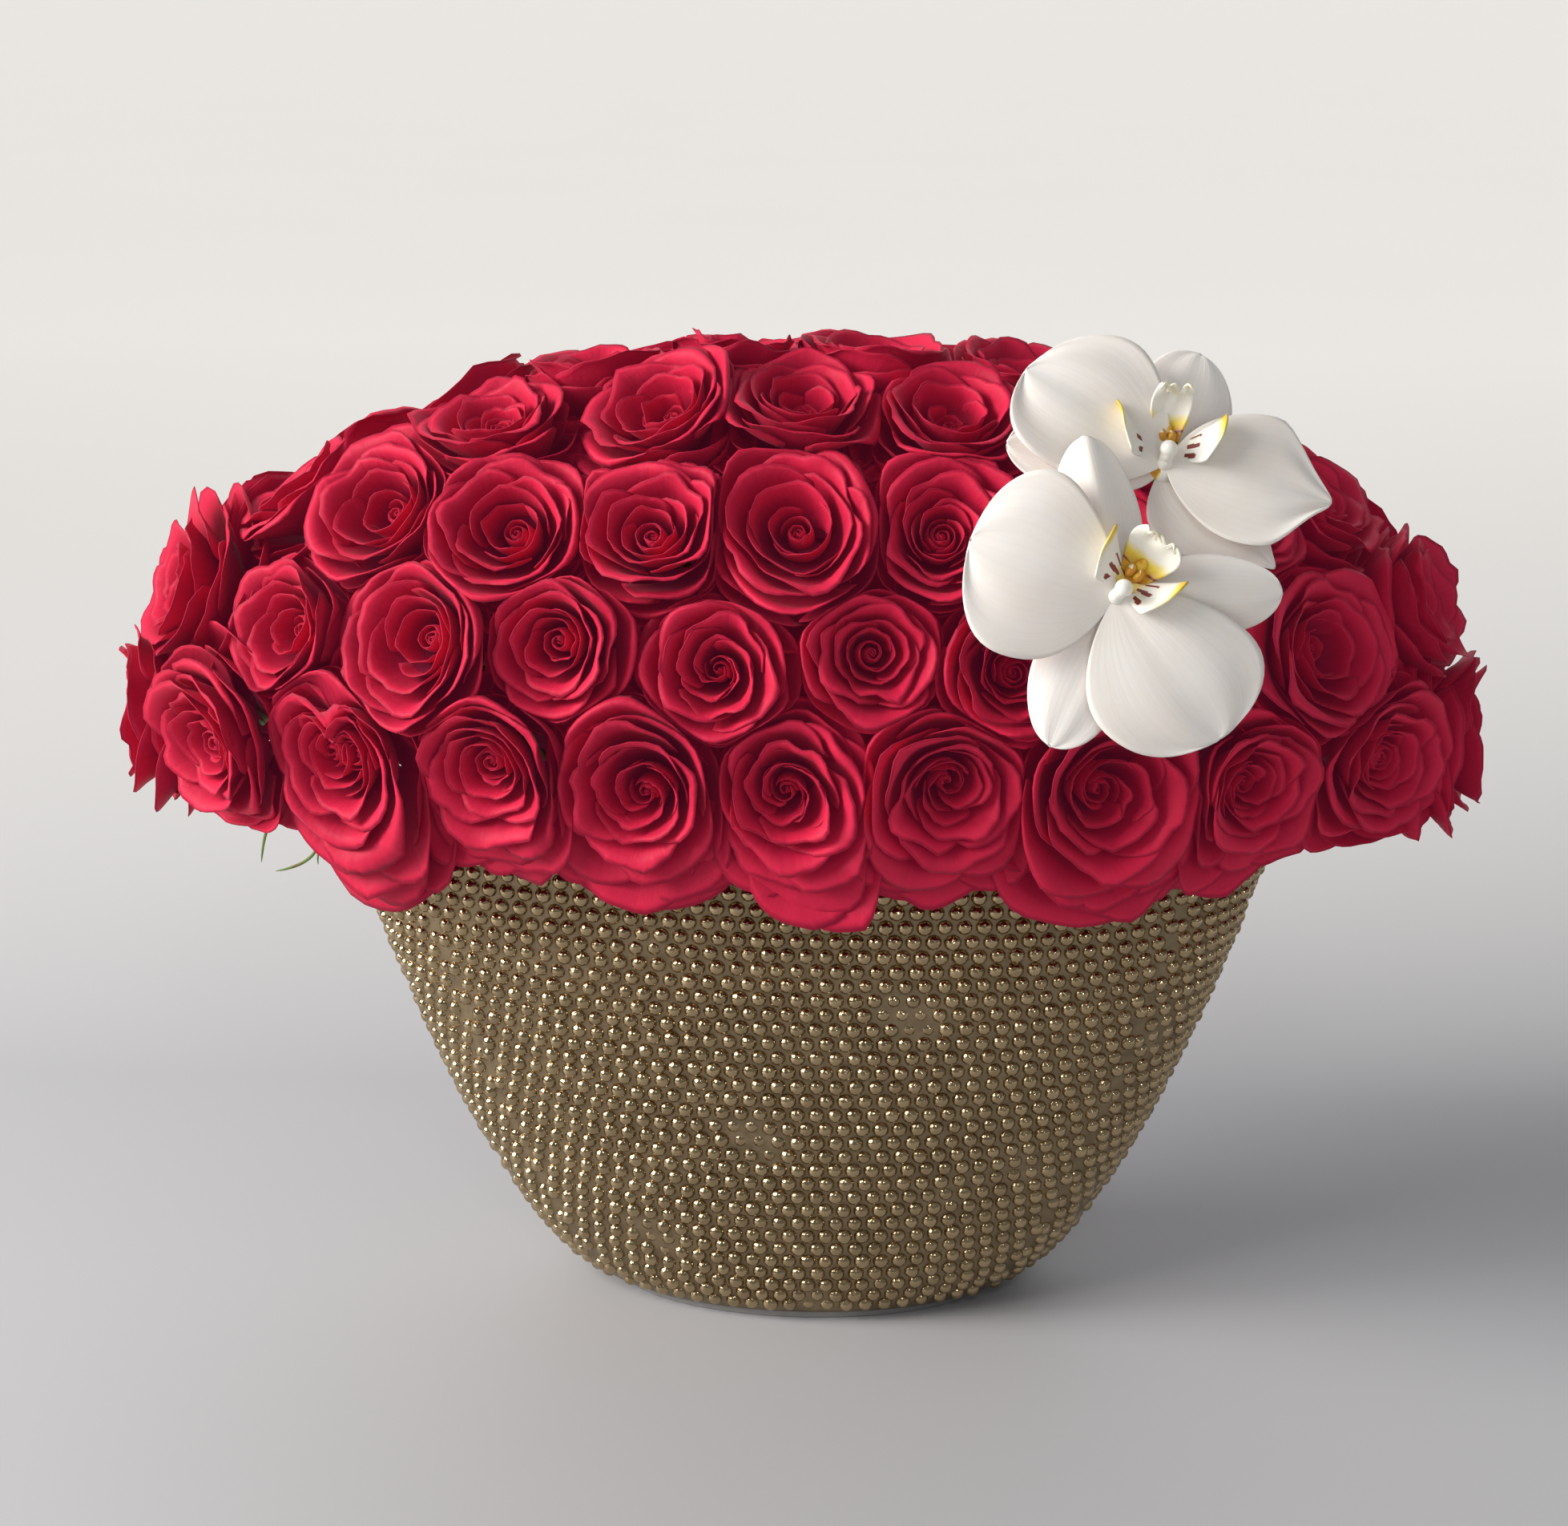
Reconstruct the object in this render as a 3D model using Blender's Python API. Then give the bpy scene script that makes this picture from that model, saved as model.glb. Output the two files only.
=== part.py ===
"""Floral table centrepiece: a dome of red roses with two white moth orchids in a studded boat-shaped vase.

Metres, +Z up. The origin is the middle of the vase's flat foot, +X runs along the vase's length and -Y is
the front, where the orchids are. Each rose is one solid of head, calyx and stem, pushed into its own hole
in the floral foam. Roses at the back stand in groups of neighbours whose petals press together.
"""

import math

import bmesh
import bpy
import numpy as np
from mathutils import Matrix, Vector

# Vase
VASE_HEIGHT = 0.195
FOOT_HALF = (0.078, 0.0425)
FOOT_EDGE = 0.0025
HULL_FOOT_HALF = (0.080, 0.044)
HULL_RIM_HALF = (0.184, 0.070)
HULL_POWER = 0.575
WALL = 0.0045
FLOOR = 0.008
VASE_SIDES = 36
FIT_GAP = 0.0005

# Floral foam, carved to a mound above the rim
MOUND_HALF = (0.163, 0.050)
MOUND_HEIGHT = 0.120

# Dome of roses: an ellipsoid through the middles of their faces, with its equator at the lowest row
DOME_HALF = (0.252, 0.110, 0.140)
DOME_BASE = 0.239
# Each row: (tilt of the row above the equator in degrees, number of roses, share of a step it is turned by)
ROSE_ROWS = ((0.0, 21, 0.0), (19.0, 19, 0.5), (37.5, 17, 0.0), (60.5, 10, 0.0))
TOP_ROSE_X = (-0.079, -0.026, 0.026, 0.079)
ROSE_SPACING = 0.0550
SPREAD_ROUNDS = 160
END_THINNING = 0.20

# One rose, as radius against depth behind its face
HEAD_RADIUS = 0.0243
HEAD_PROFILE = ((0.0055, 0.0025), (0.0200, 0.0008), (HEAD_RADIUS, 0.0070), (0.0210, 0.0160),
                (0.0135, 0.0310), (0.0064, 0.0430), (0.0029, 0.0510))
CALYX_DEPTH = 0.0510
STEM_RADIUS = 0.0029
STEM_IN_FOAM = 0.022
HOLE_GAP = 0.0003
HOLE_MOUTH = 0.016
ROSE_SIDES = 8
GROUP_SIZE = 4
GROUP_OVERLAP = 0.0013
FACE_SPAN = 0.215
NECK_SPAN = 0.150

# Orchids: where the middle of each flower is, which way it faces, the compass angle of its parts, and the
# point its stalk passes on the way down
ORCHIDS = {
    "front_orchid": {"middle": (0.109, -0.113, 0.312), "faces": (0.06, -0.95, 0.30), "dorsal": 246.0,
                     "petals": (155.0, 316.0), "side_sepals": (100.0, 4.0), "lip": 58.0,
                     "past": (0.117, -0.096, 0.301)},
    "upper_orchid": {"middle": (0.126, -0.080, 0.350), "faces": (0.16, -0.80, 0.58), "dorsal": 68.0,
                     "petals": (136.0, 356.0), "side_sepals": (166.0, 322.0), "lip": 80.0,
                     "past": (0.132, -0.084, 0.316)},
}
PETAL_SIZE = (0.056, 0.062)
SEPAL_SIZE = (0.052, 0.037)
LOBE_THICKNESS = 0.0018
LAYER_STEP = 0.0022
HUB_RADIUS = 0.0055
LIP_SIZE = (0.024, 0.026, 0.012)
COLUMN_RADIUS = 0.0030
COLUMN_LENGTH = 0.011
ORCHID_STEM_RADIUS = 0.0020
ORCHID_PLACE = Vector((0.116, -0.087, 0.300))
STALK_SPLIT = 0.005

COLOURS = {
    "vase": ((0.33, 0.24, 0.13, 1.0), 0.25, 1.0),
    "foam": ((0.03, 0.13, 0.06, 1.0), 0.95, 0.0),
    "rose": ((0.50, 0.006, 0.020, 1.0), 0.65, 0.0),
    "orchid": ((0.88, 0.85, 0.82, 1.0), 0.45, 0.0),
    "lip": ((0.88, 0.74, 0.28, 1.0), 0.45, 0.0),
    "stem": ((0.10, 0.22, 0.06, 1.0), 0.60, 0.0),
}


def material(name):
    """The Principled material of a finish, made once."""
    found = bpy.data.materials.get(name)
    if found:
        return found
    colour, roughness, metallic = COLOURS[name]
    made = bpy.data.materials.new(name)
    made.use_nodes = True
    shader = made.node_tree.nodes["Principled BSDF"]
    shader.inputs["Base Color"].default_value = colour
    shader.inputs["Roughness"].default_value = roughness
    shader.inputs["Metallic"].default_value = metallic
    return made


def add_object(name, bm, finish, guide=False):
    """Puts a finished bmesh in the scene. A guide is a cutter or a mate that another object takes in."""
    bmesh.ops.recalc_face_normals(bm, faces=bm.faces)
    mesh = bpy.data.meshes.new(name)
    bm.to_mesh(mesh)
    bm.free()
    mesh.materials.append(material(finish))
    mesh.shade_smooth()
    mesh.set_sharp_from_angle(angle=math.radians(40.0))
    made = bpy.data.objects.new(name, mesh)
    bpy.context.scene.collection.objects.link(made)
    made.hide_render = guide
    if guide:
        made.display_type = "WIRE"
    return made


def loft(bm, rings):
    """Extrudes a capped face through rings of points, each with the same count, into one closed body."""
    start_cap = face = bm.faces.new([bm.verts.new(point) for point in rings[0]])
    for ring in rings[1:]:
        grown = bmesh.ops.extrude_face_region(bm, geom=[face])
        if face is not start_cap:
            bmesh.ops.delete(bm, geom=[face], context="FACES_ONLY")
        face = next(item for item in grown["geom"] if isinstance(item, bmesh.types.BMFace))
        for corner, point in zip(face.verts, ring):
            corner.co = point


def combine(target, other, operation):
    """Joins or cuts target with a guide object."""
    boolean = target.modifiers.new(operation.lower() + "_" + other.name, "BOOLEAN")
    boolean.operation = operation
    boolean.object = other
    boolean.solver = "EXACT"


# --- Vase and foam -----------------------------------------------------------------------------------


def oval(half_width, half_depth, height):
    """One level ring of the vase or the foam."""
    angles = [math.tau * i / VASE_SIDES for i in range(VASE_SIDES)]
    return [Vector((half_width * math.cos(a), half_depth * math.sin(a), height)) for a in angles]


def hull_half(height, outside=0.0):
    """The vase's outer half width and half depth at a height, grown outwards by a given amount."""
    share = max(height - FOOT_EDGE, 0.0) / (VASE_HEIGHT - FOOT_EDGE)
    rise = share ** HULL_POWER
    return [foot + (rim - foot) * rise + outside for foot, rim in zip(HULL_FOOT_HALF, HULL_RIM_HALF)]


def inner_half(height, inside=0.0):
    """The cavity's half sizes at a height. The wall is measured square to the flaring hull."""
    return hull_half(height - 0.8 * WALL, -0.8 * WALL - inside)


HULL_LEVELS = [FOOT_EDGE, 0.0045, 0.009, 0.018, 0.034, 0.058, 0.088, 0.122, 0.158, VASE_HEIGHT]
CAVITY_LEVELS = [FLOOR, 0.018, 0.040, 0.080, 0.130, VASE_HEIGHT]


def build_vase():
    """A boat-shaped bowl on an oval foot, open at the top."""
    rings = [oval(*FOOT_HALF, 0.0), oval(*FOOT_HALF, FOOT_EDGE)]
    rings += [oval(*hull_half(level), level) for level in HULL_LEVELS]
    rings += [oval(*inner_half(level), level) for level in reversed(CAVITY_LEVELS)]
    bm = bmesh.new()
    loft(bm, rings)
    return add_object("vase", bm, "vase")


def build_foam():
    """The foam block: it fills the vase and rises above the rim as a carved mound."""
    levels = [FLOOR + FIT_GAP] + CAVITY_LEVELS[1:]
    rings = [oval(*inner_half(level, FIT_GAP), level) for level in levels]
    for degrees in (2.0, 20.0, 38.0, 55.0, 70.0, 82.0):
        tilt = math.radians(degrees)
        size = math.cos(tilt)
        rings.append(oval(MOUND_HALF[0] * size, MOUND_HALF[1] * size, VASE_HEIGHT + MOUND_HEIGHT * math.sin(tilt)))
    bm = bmesh.new()
    loft(bm, rings)
    return add_object("floral_foam", bm, "foam")


# --- Where the roses stand ---------------------------------------------------------------------------


def row_angles(count, turn):
    """Angles round the dome's plan, 0 at the front, with even steps along the oval that widen at its ends."""
    t = np.linspace(0.0, math.tau, 2881)
    width, depth = DOME_HALF[0], DOME_HALF[1]
    step = np.hypot(width * np.cos(t), depth * np.sin(t)) * (1.0 - END_THINNING * np.sin(t) ** 6)
    along = np.concatenate([[0.0], np.cumsum((step[1:] + step[:-1]) / 2)])
    wanted = (np.arange(count) + turn) / count * along[-1]
    return np.interp(wanted, along, t)


def starting_places():
    """Unit-dome places of all roses, row by row from the equator up, then the line along the top."""
    places = []
    for tilt, count, turn in ROSE_ROWS:
        level, reach = math.sin(math.radians(tilt)), math.cos(math.radians(tilt))
        for angle in row_angles(count, turn):
            places.append((reach * math.sin(angle), -reach * math.cos(angle), level))
    for x in TOP_ROSE_X:
        unit = x / DOME_HALF[0]
        places.append((unit, 0.0, math.sqrt(1.0 - unit * unit)))
    return np.array(places)


def spread_roses():
    """Pushes roses apart over the dome until they are evenly spaced. The lowest row stays on the equator."""
    half = np.array(DOME_HALF)
    unit = starting_places()
    lowest = np.arange(len(unit)) < ROSE_ROWS[0][1]
    for _ in range(SPREAD_ROUNDS):
        points = unit * half
        apart = points[:, None] - points[None]
        distance = np.linalg.norm(apart, axis=2) + np.eye(len(points))
        short = np.clip(ROSE_SPACING - distance, 0.0, None) * (1.0 - np.eye(len(points)))
        push = (apart / distance[:, :, None] * short[:, :, None]).sum(axis=1)
        unit = (points + 0.2 * push) / half
        unit[lowest, 2] = 0.0
        unit /= np.linalg.norm(unit, axis=1)[:, None]
    return [Vector(point) for point in unit * half + np.array((0.0, 0.0, DOME_BASE))]


def outward(place, span):
    """The way out of the dome at a place. A smaller span fans the roses at the two ends more widely."""
    x, y, z = place
    return Vector((x / span ** 2, y / DOME_HALF[1] ** 2, (z - DOME_BASE) / DOME_HALF[2] ** 2)).normalized()


def stem_aim(place):
    """The point inside the foam that the stem of a rose at a place is pushed towards."""
    return Vector((0.53 * place.x, 0.25 * place.y, 0.225 + 0.30 * (place.z - DOME_BASE)))


def foam_entry(start, aim):
    """Where the line from start to aim goes into the foam's mound."""
    half = Vector((*MOUND_HALF, MOUND_HEIGHT))
    centre = Vector((0.0, 0.0, VASE_HEIGHT))
    p = Vector([(a - c) / h for a, c, h in zip(start, centre, half)])
    q = Vector([(b - a) / h for a, b, h in zip(start, aim, half)])
    root = p.dot(q) ** 2 - q.length_squared * (p.length_squared - 1.0)
    return start + (aim - start) * ((-p.dot(q) - math.sqrt(root)) / q.length_squared)


# --- One rose ----------------------------------------------------------------------------------------


def square_to(axis, towards):
    """A unit vector across axis, as near as it can be to a given direction."""
    return (towards - axis * towards.dot(axis)).normalized()


def rose_ring(centre, axis, across, radius):
    """A ring of points square to axis, the first of them along across."""
    side = axis.cross(across)
    turns = [math.tau * i / ROSE_SIDES for i in range(ROSE_SIDES)]
    return [centre + (across * math.cos(turn) + side * math.sin(turn)) * radius for turn in turns]


class Rose:
    """A rose's place on the dome, the lean of its neck and the run of its stem."""

    def __init__(self, place):
        self.place = place
        self.face = outward(place, FACE_SPAN)
        self.neck = outward(place, NECK_SPAN)
        self.across = square_to(self.face, Vector((-place.y, place.x * 0.2, 0.0)) + Vector((0.001, 0.0, 0.0)))
        self.mates = (None, None)
        self.stem_top, _ = self.at_depth(CALYX_DEPTH)
        aim = stem_aim(place)
        self.stem_way = (aim - self.stem_top).normalized()
        self.entry = foam_entry(self.stem_top, aim)
        self.stem_end = self.entry + self.stem_way * STEM_IN_FOAM

    def at_depth(self, depth):
        """The head's middle and axis at a depth behind its face."""
        bend = min(depth / CALYX_DEPTH, 1.0)
        axis = self.face.lerp(self.neck, bend).normalized()
        return self.place - axis * depth, axis

    def head_rings(self):
        """Rings from the face down to the foot of the calyx."""
        rings = []
        for radius, depth in HEAD_PROFILE:
            centre, axis = self.at_depth(depth)
            ring = rose_ring(centre, axis, square_to(axis, self.across), radius)
            for corner, mate in zip((0, ROSE_SIDES // 2), self.mates):
                if mate and radius > 0.8 * HEAD_RADIUS:
                    to_mate = mate.at_depth(depth)[0] - centre
                    ring[corner] = centre + to_mate / 2 + to_mate.normalized() * GROUP_OVERLAP
            rings.append(ring)
        return rings

    def stem_ring(self, point, radius):
        """A ring of the stem, or of its hole, at a point along it."""
        way = -self.stem_way
        return rose_ring(point, way, square_to(way, self.across), radius)

    def rings(self):
        """All rings of the rose, face to cut stem."""
        return self.head_rings() + [self.stem_ring(self.stem_end, STEM_RADIUS)]

    def hole_rings(self):
        """The stem's hole in the foam, open to the outside."""
        mouth = self.entry - self.stem_way * HOLE_MOUTH
        foot = self.stem_end + self.stem_way * HOLE_GAP
        return [self.stem_ring(point, STEM_RADIUS + HOLE_GAP) for point in (mouth, foot)]


def join_heads(roses):
    """Turns the heads of a group and draws their outer petals out so that each presses into the next."""
    for before, rose, after in zip([None] + roses, roses, roses[1:] + [None]):
        rose.mates = (after, before)
        rose.across = square_to(rose.face, (after or rose).place - (before or rose).place)


def rose_mesh(rose):
    """The rose as a closed bmesh."""
    bm = bmesh.new()
    loft(bm, rose.rings())
    return bm


def build_rose_group(name, roses):
    """One node of several roses whose petals press together, united from their own solids."""
    join_heads(roses)
    first = add_object(name, rose_mesh(roses[0]), "rose")
    for number, rose in enumerate(roses[1:], 2):
        mate = add_object(f"{name}_mate_{number}", rose_mesh(rose), "rose", guide=True)
        combine(first, mate, "UNION")


def build_roses(foam):
    """All roses and their holes in the foam. Front roses are single nodes and back rows are in groups.

    The rose nearest the orchids is left out, and its place is returned for their stalks.
    """
    roses = [Rose(place) for place in spread_roses()]
    gap = min(roses, key=lambda rose: (rose.place - ORCHID_PLACE).length)
    roses.remove(gap)
    top = [rose for rose in roses if abs(rose.place.y) < 0.02 and rose.place.z > DOME_BASE + 0.1]
    back = [rose for rose in roses if rose.place.y > 0.006 and rose not in top]
    front = [rose for rose in roses if rose not in back]
    for number, rose in enumerate(front, 1):
        add_object(f"rose_{number:02d}", rose_mesh(rose), "rose")
    for number, group in enumerate(back_groups(back), 1):
        build_rose_group(f"back_roses_{number:02d}", group)
    holes = bmesh.new()
    for rose in roses:
        loft(holes, rose.hole_rings())
    combine(foam, add_object("stem_holes", holes, "foam", guide=True), "DIFFERENCE")
    return gap


def back_groups(back):
    """The back roses in runs of neighbours, row by row."""
    rows, groups = {}, []
    for rose in back:
        level = min(range(len(ROSE_ROWS)), key=lambda i: abs(
            DOME_HALF[2] * math.sin(math.radians(ROSE_ROWS[i][0])) - (rose.place.z - DOME_BASE)))
        rows.setdefault(level, []).append(rose)
    for level in sorted(rows):
        row = sorted(rows[level], key=lambda rose: rose.place.x)
        pieces = max(round(len(row) / GROUP_SIZE), 1)
        cuts = [round(i * len(row) / pieces) for i in range(pieces + 1)]
        groups += [row[a:b] for a, b in zip(cuts, cuts[1:])]
    return groups


# --- Orchids -----------------------------------------------------------------------------------------


def lobe(bm, size, frame, degrees, lift):
    """A lens-shaped petal that springs from the flower's middle at a compass angle."""
    length, width = size
    turn = Matrix.Rotation(math.radians(degrees), 4, "Z")
    shift = Matrix.Translation((length / 2 - 0.001, 0.0, lift))
    scale = Matrix.Diagonal((length / 2, width / 2, LOBE_THICKNESS / 2, 1.0))
    bmesh.ops.create_uvsphere(bm, u_segments=14, v_segments=6, radius=1.0, matrix=frame @ turn @ shift @ scale)


def disc(bm, frame, low, high, radius):
    """A short round hub between two heights above the flower's plane."""
    middle = Matrix.Translation((0.0, 0.0, (low + high) / 2))
    bmesh.ops.create_cone(bm, cap_ends=True, segments=10, radius1=radius, radius2=radius,
                          depth=high - low, matrix=frame @ middle)


def flower_frame(spec):
    """The flower's own frame: X to the right and Y up across it, Z the way it faces."""
    faces = Vector(spec["faces"]).normalized()
    right = Vector((0.0, 0.0, 1.0)).cross(faces).normalized()
    up = faces.cross(right)
    turn = Matrix((right, up, faces)).transposed().to_4x4()
    return Matrix.Translation(spec["middle"]) @ turn


def build_lobes(name, frame, size, angles, lift, column=0.0):
    """A layer of petals or sepals joined at a hub, which may carry the column in front."""
    hub = bmesh.new()
    disc(hub, frame, lift - LOBE_THICKNESS / 2, lift + LOBE_THICKNESS / 2, HUB_RADIUS)
    layer = add_object(name, hub, "orchid")
    for number, degrees in enumerate(angles, 1):
        petal = bmesh.new()
        lobe(petal, size, frame, degrees, lift)
        combine(layer, add_object(f"{name}_lobe_{number}", petal, "orchid", guide=True), "UNION")
    if column:
        knob = bmesh.new()
        disc(knob, frame, lift, lift + column, COLUMN_RADIUS)
        combine(layer, add_object(f"{name}_column", knob, "orchid", guide=True), "UNION")


def build_lip(name, frame, degrees):
    """The lip: a shallow boat that stands forward beside the column."""
    turn = Matrix.Rotation(math.radians(degrees), 4, "Z")
    lift = LAYER_STEP + LOBE_THICKNESS / 2 + LIP_SIZE[2] / 2 + HOLE_GAP
    shift = Matrix.Translation((COLUMN_RADIUS + LIP_SIZE[0] / 2 + 0.0005, 0.0, lift))
    scale = Matrix.Diagonal((LIP_SIZE[0] / 2, LIP_SIZE[1] / 2, LIP_SIZE[2] / 2, 1.0))
    bm = bmesh.new()
    bmesh.ops.create_uvsphere(bm, u_segments=12, v_segments=6, radius=1.0, matrix=frame @ turn @ shift @ scale)
    add_object(name, bm, "lip")


def build_orchid_stem(name, frame, past, foam, gap, side):
    """The flower stalk: from the back of the sepals, down through the space left by a rose, into the foam."""
    faces = frame.to_3x3() @ Vector((0.0, 0.0, 1.0))
    shift = square_to(gap.face, Vector((0.0, 0.0, 1.0))) * STALK_SPLIT * side
    start = frame.translation - faces * (LOBE_THICKNESS / 2 + HOLE_GAP)
    neck = frame.translation - faces * 0.007
    bend = gap.at_depth(0.026)[0] + shift
    way = (gap.stem_top - gap.at_depth(0.026)[0]).lerp(stem_aim(gap.place) - gap.stem_top, 0.5).normalized()
    entry = foam_entry(bend, bend + way)
    end = entry + way * STEM_IN_FOAM
    across = square_to(faces, Vector((1.0, 0.0, 0.0)))
    points = [start, neck, past, bend, end]
    ways = [faces]
    for before, here, after in zip(points, points[1:], points[2:]):
        ways.append(((before - here).normalized() + (here - after).normalized()).normalized())
    ways.append(-way)
    bm = bmesh.new()
    loft(bm, [rose_ring(p, w, square_to(w, across), ORCHID_STEM_RADIUS) for p, w in zip(points, ways)])
    add_object(name, bm, "stem")
    hole = bmesh.new()
    ends = (entry - way * HOLE_MOUTH, end + way * HOLE_GAP)
    loft(hole, [rose_ring(p, -way, square_to(-way, across), ORCHID_STEM_RADIUS + HOLE_GAP) for p in ends])
    combine(foam, add_object(name + "_hole", hole, "foam", guide=True), "DIFFERENCE")


def build_orchid(name, spec, foam, gap, side):
    """One moth orchid flower on its cut stalk. gap is the rose whose place the stalks take."""
    frame = flower_frame(spec)
    build_lobes(name + "_sepals", frame, SEPAL_SIZE, (spec["dorsal"], *spec["side_sepals"]), 0.0)
    build_lobes(name + "_petals", frame, PETAL_SIZE, spec["petals"], LAYER_STEP, column=COLUMN_LENGTH)
    build_lip(name + "_lip", frame, spec["lip"])
    build_orchid_stem(name + "_stem", frame, Vector(spec["past"]), foam, gap, side)


def main():
    """Clears the scene and builds the centrepiece."""
    for old in list(bpy.data.objects):
        bpy.data.objects.remove(old)
    build_vase()
    foam = build_foam()
    gap = build_roses(foam)
    for side, (name, spec) in zip((-1.0, 1.0), ORCHIDS.items()):
        build_orchid(name, spec, foam, gap, side)


if __name__ == "__main__":
    main()
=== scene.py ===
"""Looks of a floral table centrepiece: red roses and two white moth orchids in a studded boat-shaped vase.

Everything is in metres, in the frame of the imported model: the origin is the middle of the vase's foot, +X
runs along the vase, -Y is the front and +Z is up. Each class below is one sub-assembly or one finish.
"""

import logging
import math
from collections.abc import Callable, Sequence
from dataclasses import dataclass, field, replace
from enum import Enum
from functools import partial
from typing import Any

import bmesh
import bpy
import numpy as np
from mathutils import Matrix, Vector

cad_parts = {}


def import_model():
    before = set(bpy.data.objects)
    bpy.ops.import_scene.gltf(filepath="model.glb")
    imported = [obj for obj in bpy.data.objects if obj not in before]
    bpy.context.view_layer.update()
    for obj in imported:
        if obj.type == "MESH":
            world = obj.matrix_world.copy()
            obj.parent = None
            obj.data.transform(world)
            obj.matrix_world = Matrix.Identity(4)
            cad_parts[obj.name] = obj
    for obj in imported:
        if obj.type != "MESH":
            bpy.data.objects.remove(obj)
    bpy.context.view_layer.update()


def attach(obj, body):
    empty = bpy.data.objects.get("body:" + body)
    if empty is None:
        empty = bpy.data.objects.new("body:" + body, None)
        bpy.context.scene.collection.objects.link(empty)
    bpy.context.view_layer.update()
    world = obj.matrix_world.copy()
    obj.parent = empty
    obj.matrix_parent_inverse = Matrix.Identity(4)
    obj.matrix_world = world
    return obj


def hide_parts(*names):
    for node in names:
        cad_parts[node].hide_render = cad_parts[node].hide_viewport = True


Array = np.ndarray
Pair = tuple[float, float]
Place = tuple[float, float, float]
Colour = tuple[float, float, float]

LOG = logging.getLogger("centrepiece")
MM = 0.001
UP = Vector((0.0, 0.0, 1.0))
SKEWED = Vector((1.0, 0.2, 0.1))


# --- Shader maths --------------------------------------------------------------------------------------


class Value:
    """A shader value: a socket, or a plain number, with arithmetic that adds Math nodes."""

    def __init__(self, graph: "Graph", source: Any) -> None:
        """Wraps an output socket or a number of a graph."""
        self.graph, self.source = graph, source

    def math(self, operation: str, *others: Any, clamp: bool = False) -> "Value":
        """Adds one Math node that takes the value and others, held between 0 and 1 where it is clamped."""
        settings = {"operation": operation, "use_clamp": clamp}
        return self.graph.value("ShaderNodeMath", settings, dict(enumerate((self, *others))))

    def __add__(self, other: Any) -> "Value":
        """Sum."""
        return self.math("ADD", other)

    def __sub__(self, other: Any) -> "Value":
        """Difference."""
        return self.math("SUBTRACT", other)

    def __rsub__(self, other: Any) -> "Value":
        """Difference, reflected."""
        return Value(self.graph, other).math("SUBTRACT", self)

    def __mul__(self, other: Any) -> "Value":
        """Product."""
        return self.math("MULTIPLY", other)

    def __truediv__(self, other: Any) -> "Value":
        """Quotient."""
        return self.math("DIVIDE", other)

    def __pow__(self, other: Any) -> "Value":
        """Power."""
        return self.math("POWER", other)

    def __abs__(self) -> "Value":
        """Absolute value."""
        return self.math("ABSOLUTE")

    __radd__, __rmul__ = __add__, __mul__

    def at_least(self, other: Any) -> "Value":
        """The greater of the value and another."""
        return self.math("MAXIMUM", other)

    def clamped(self) -> "Value":
        """The value held between 0 and 1."""
        return self.math("ADD", 0.0, clamp=True)

    def sine(self) -> "Value":
        """The sine of the value."""
        return self.math("SINE")

    def step(self, low: float, high: float) -> "Value":
        """A smooth step from 0 at low to 1 at high."""
        settings = {"interpolation_type": "SMOOTHSTEP"}
        return self.graph.value("ShaderNodeMapRange", settings, {0: self, 1: low, 2: high})


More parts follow.
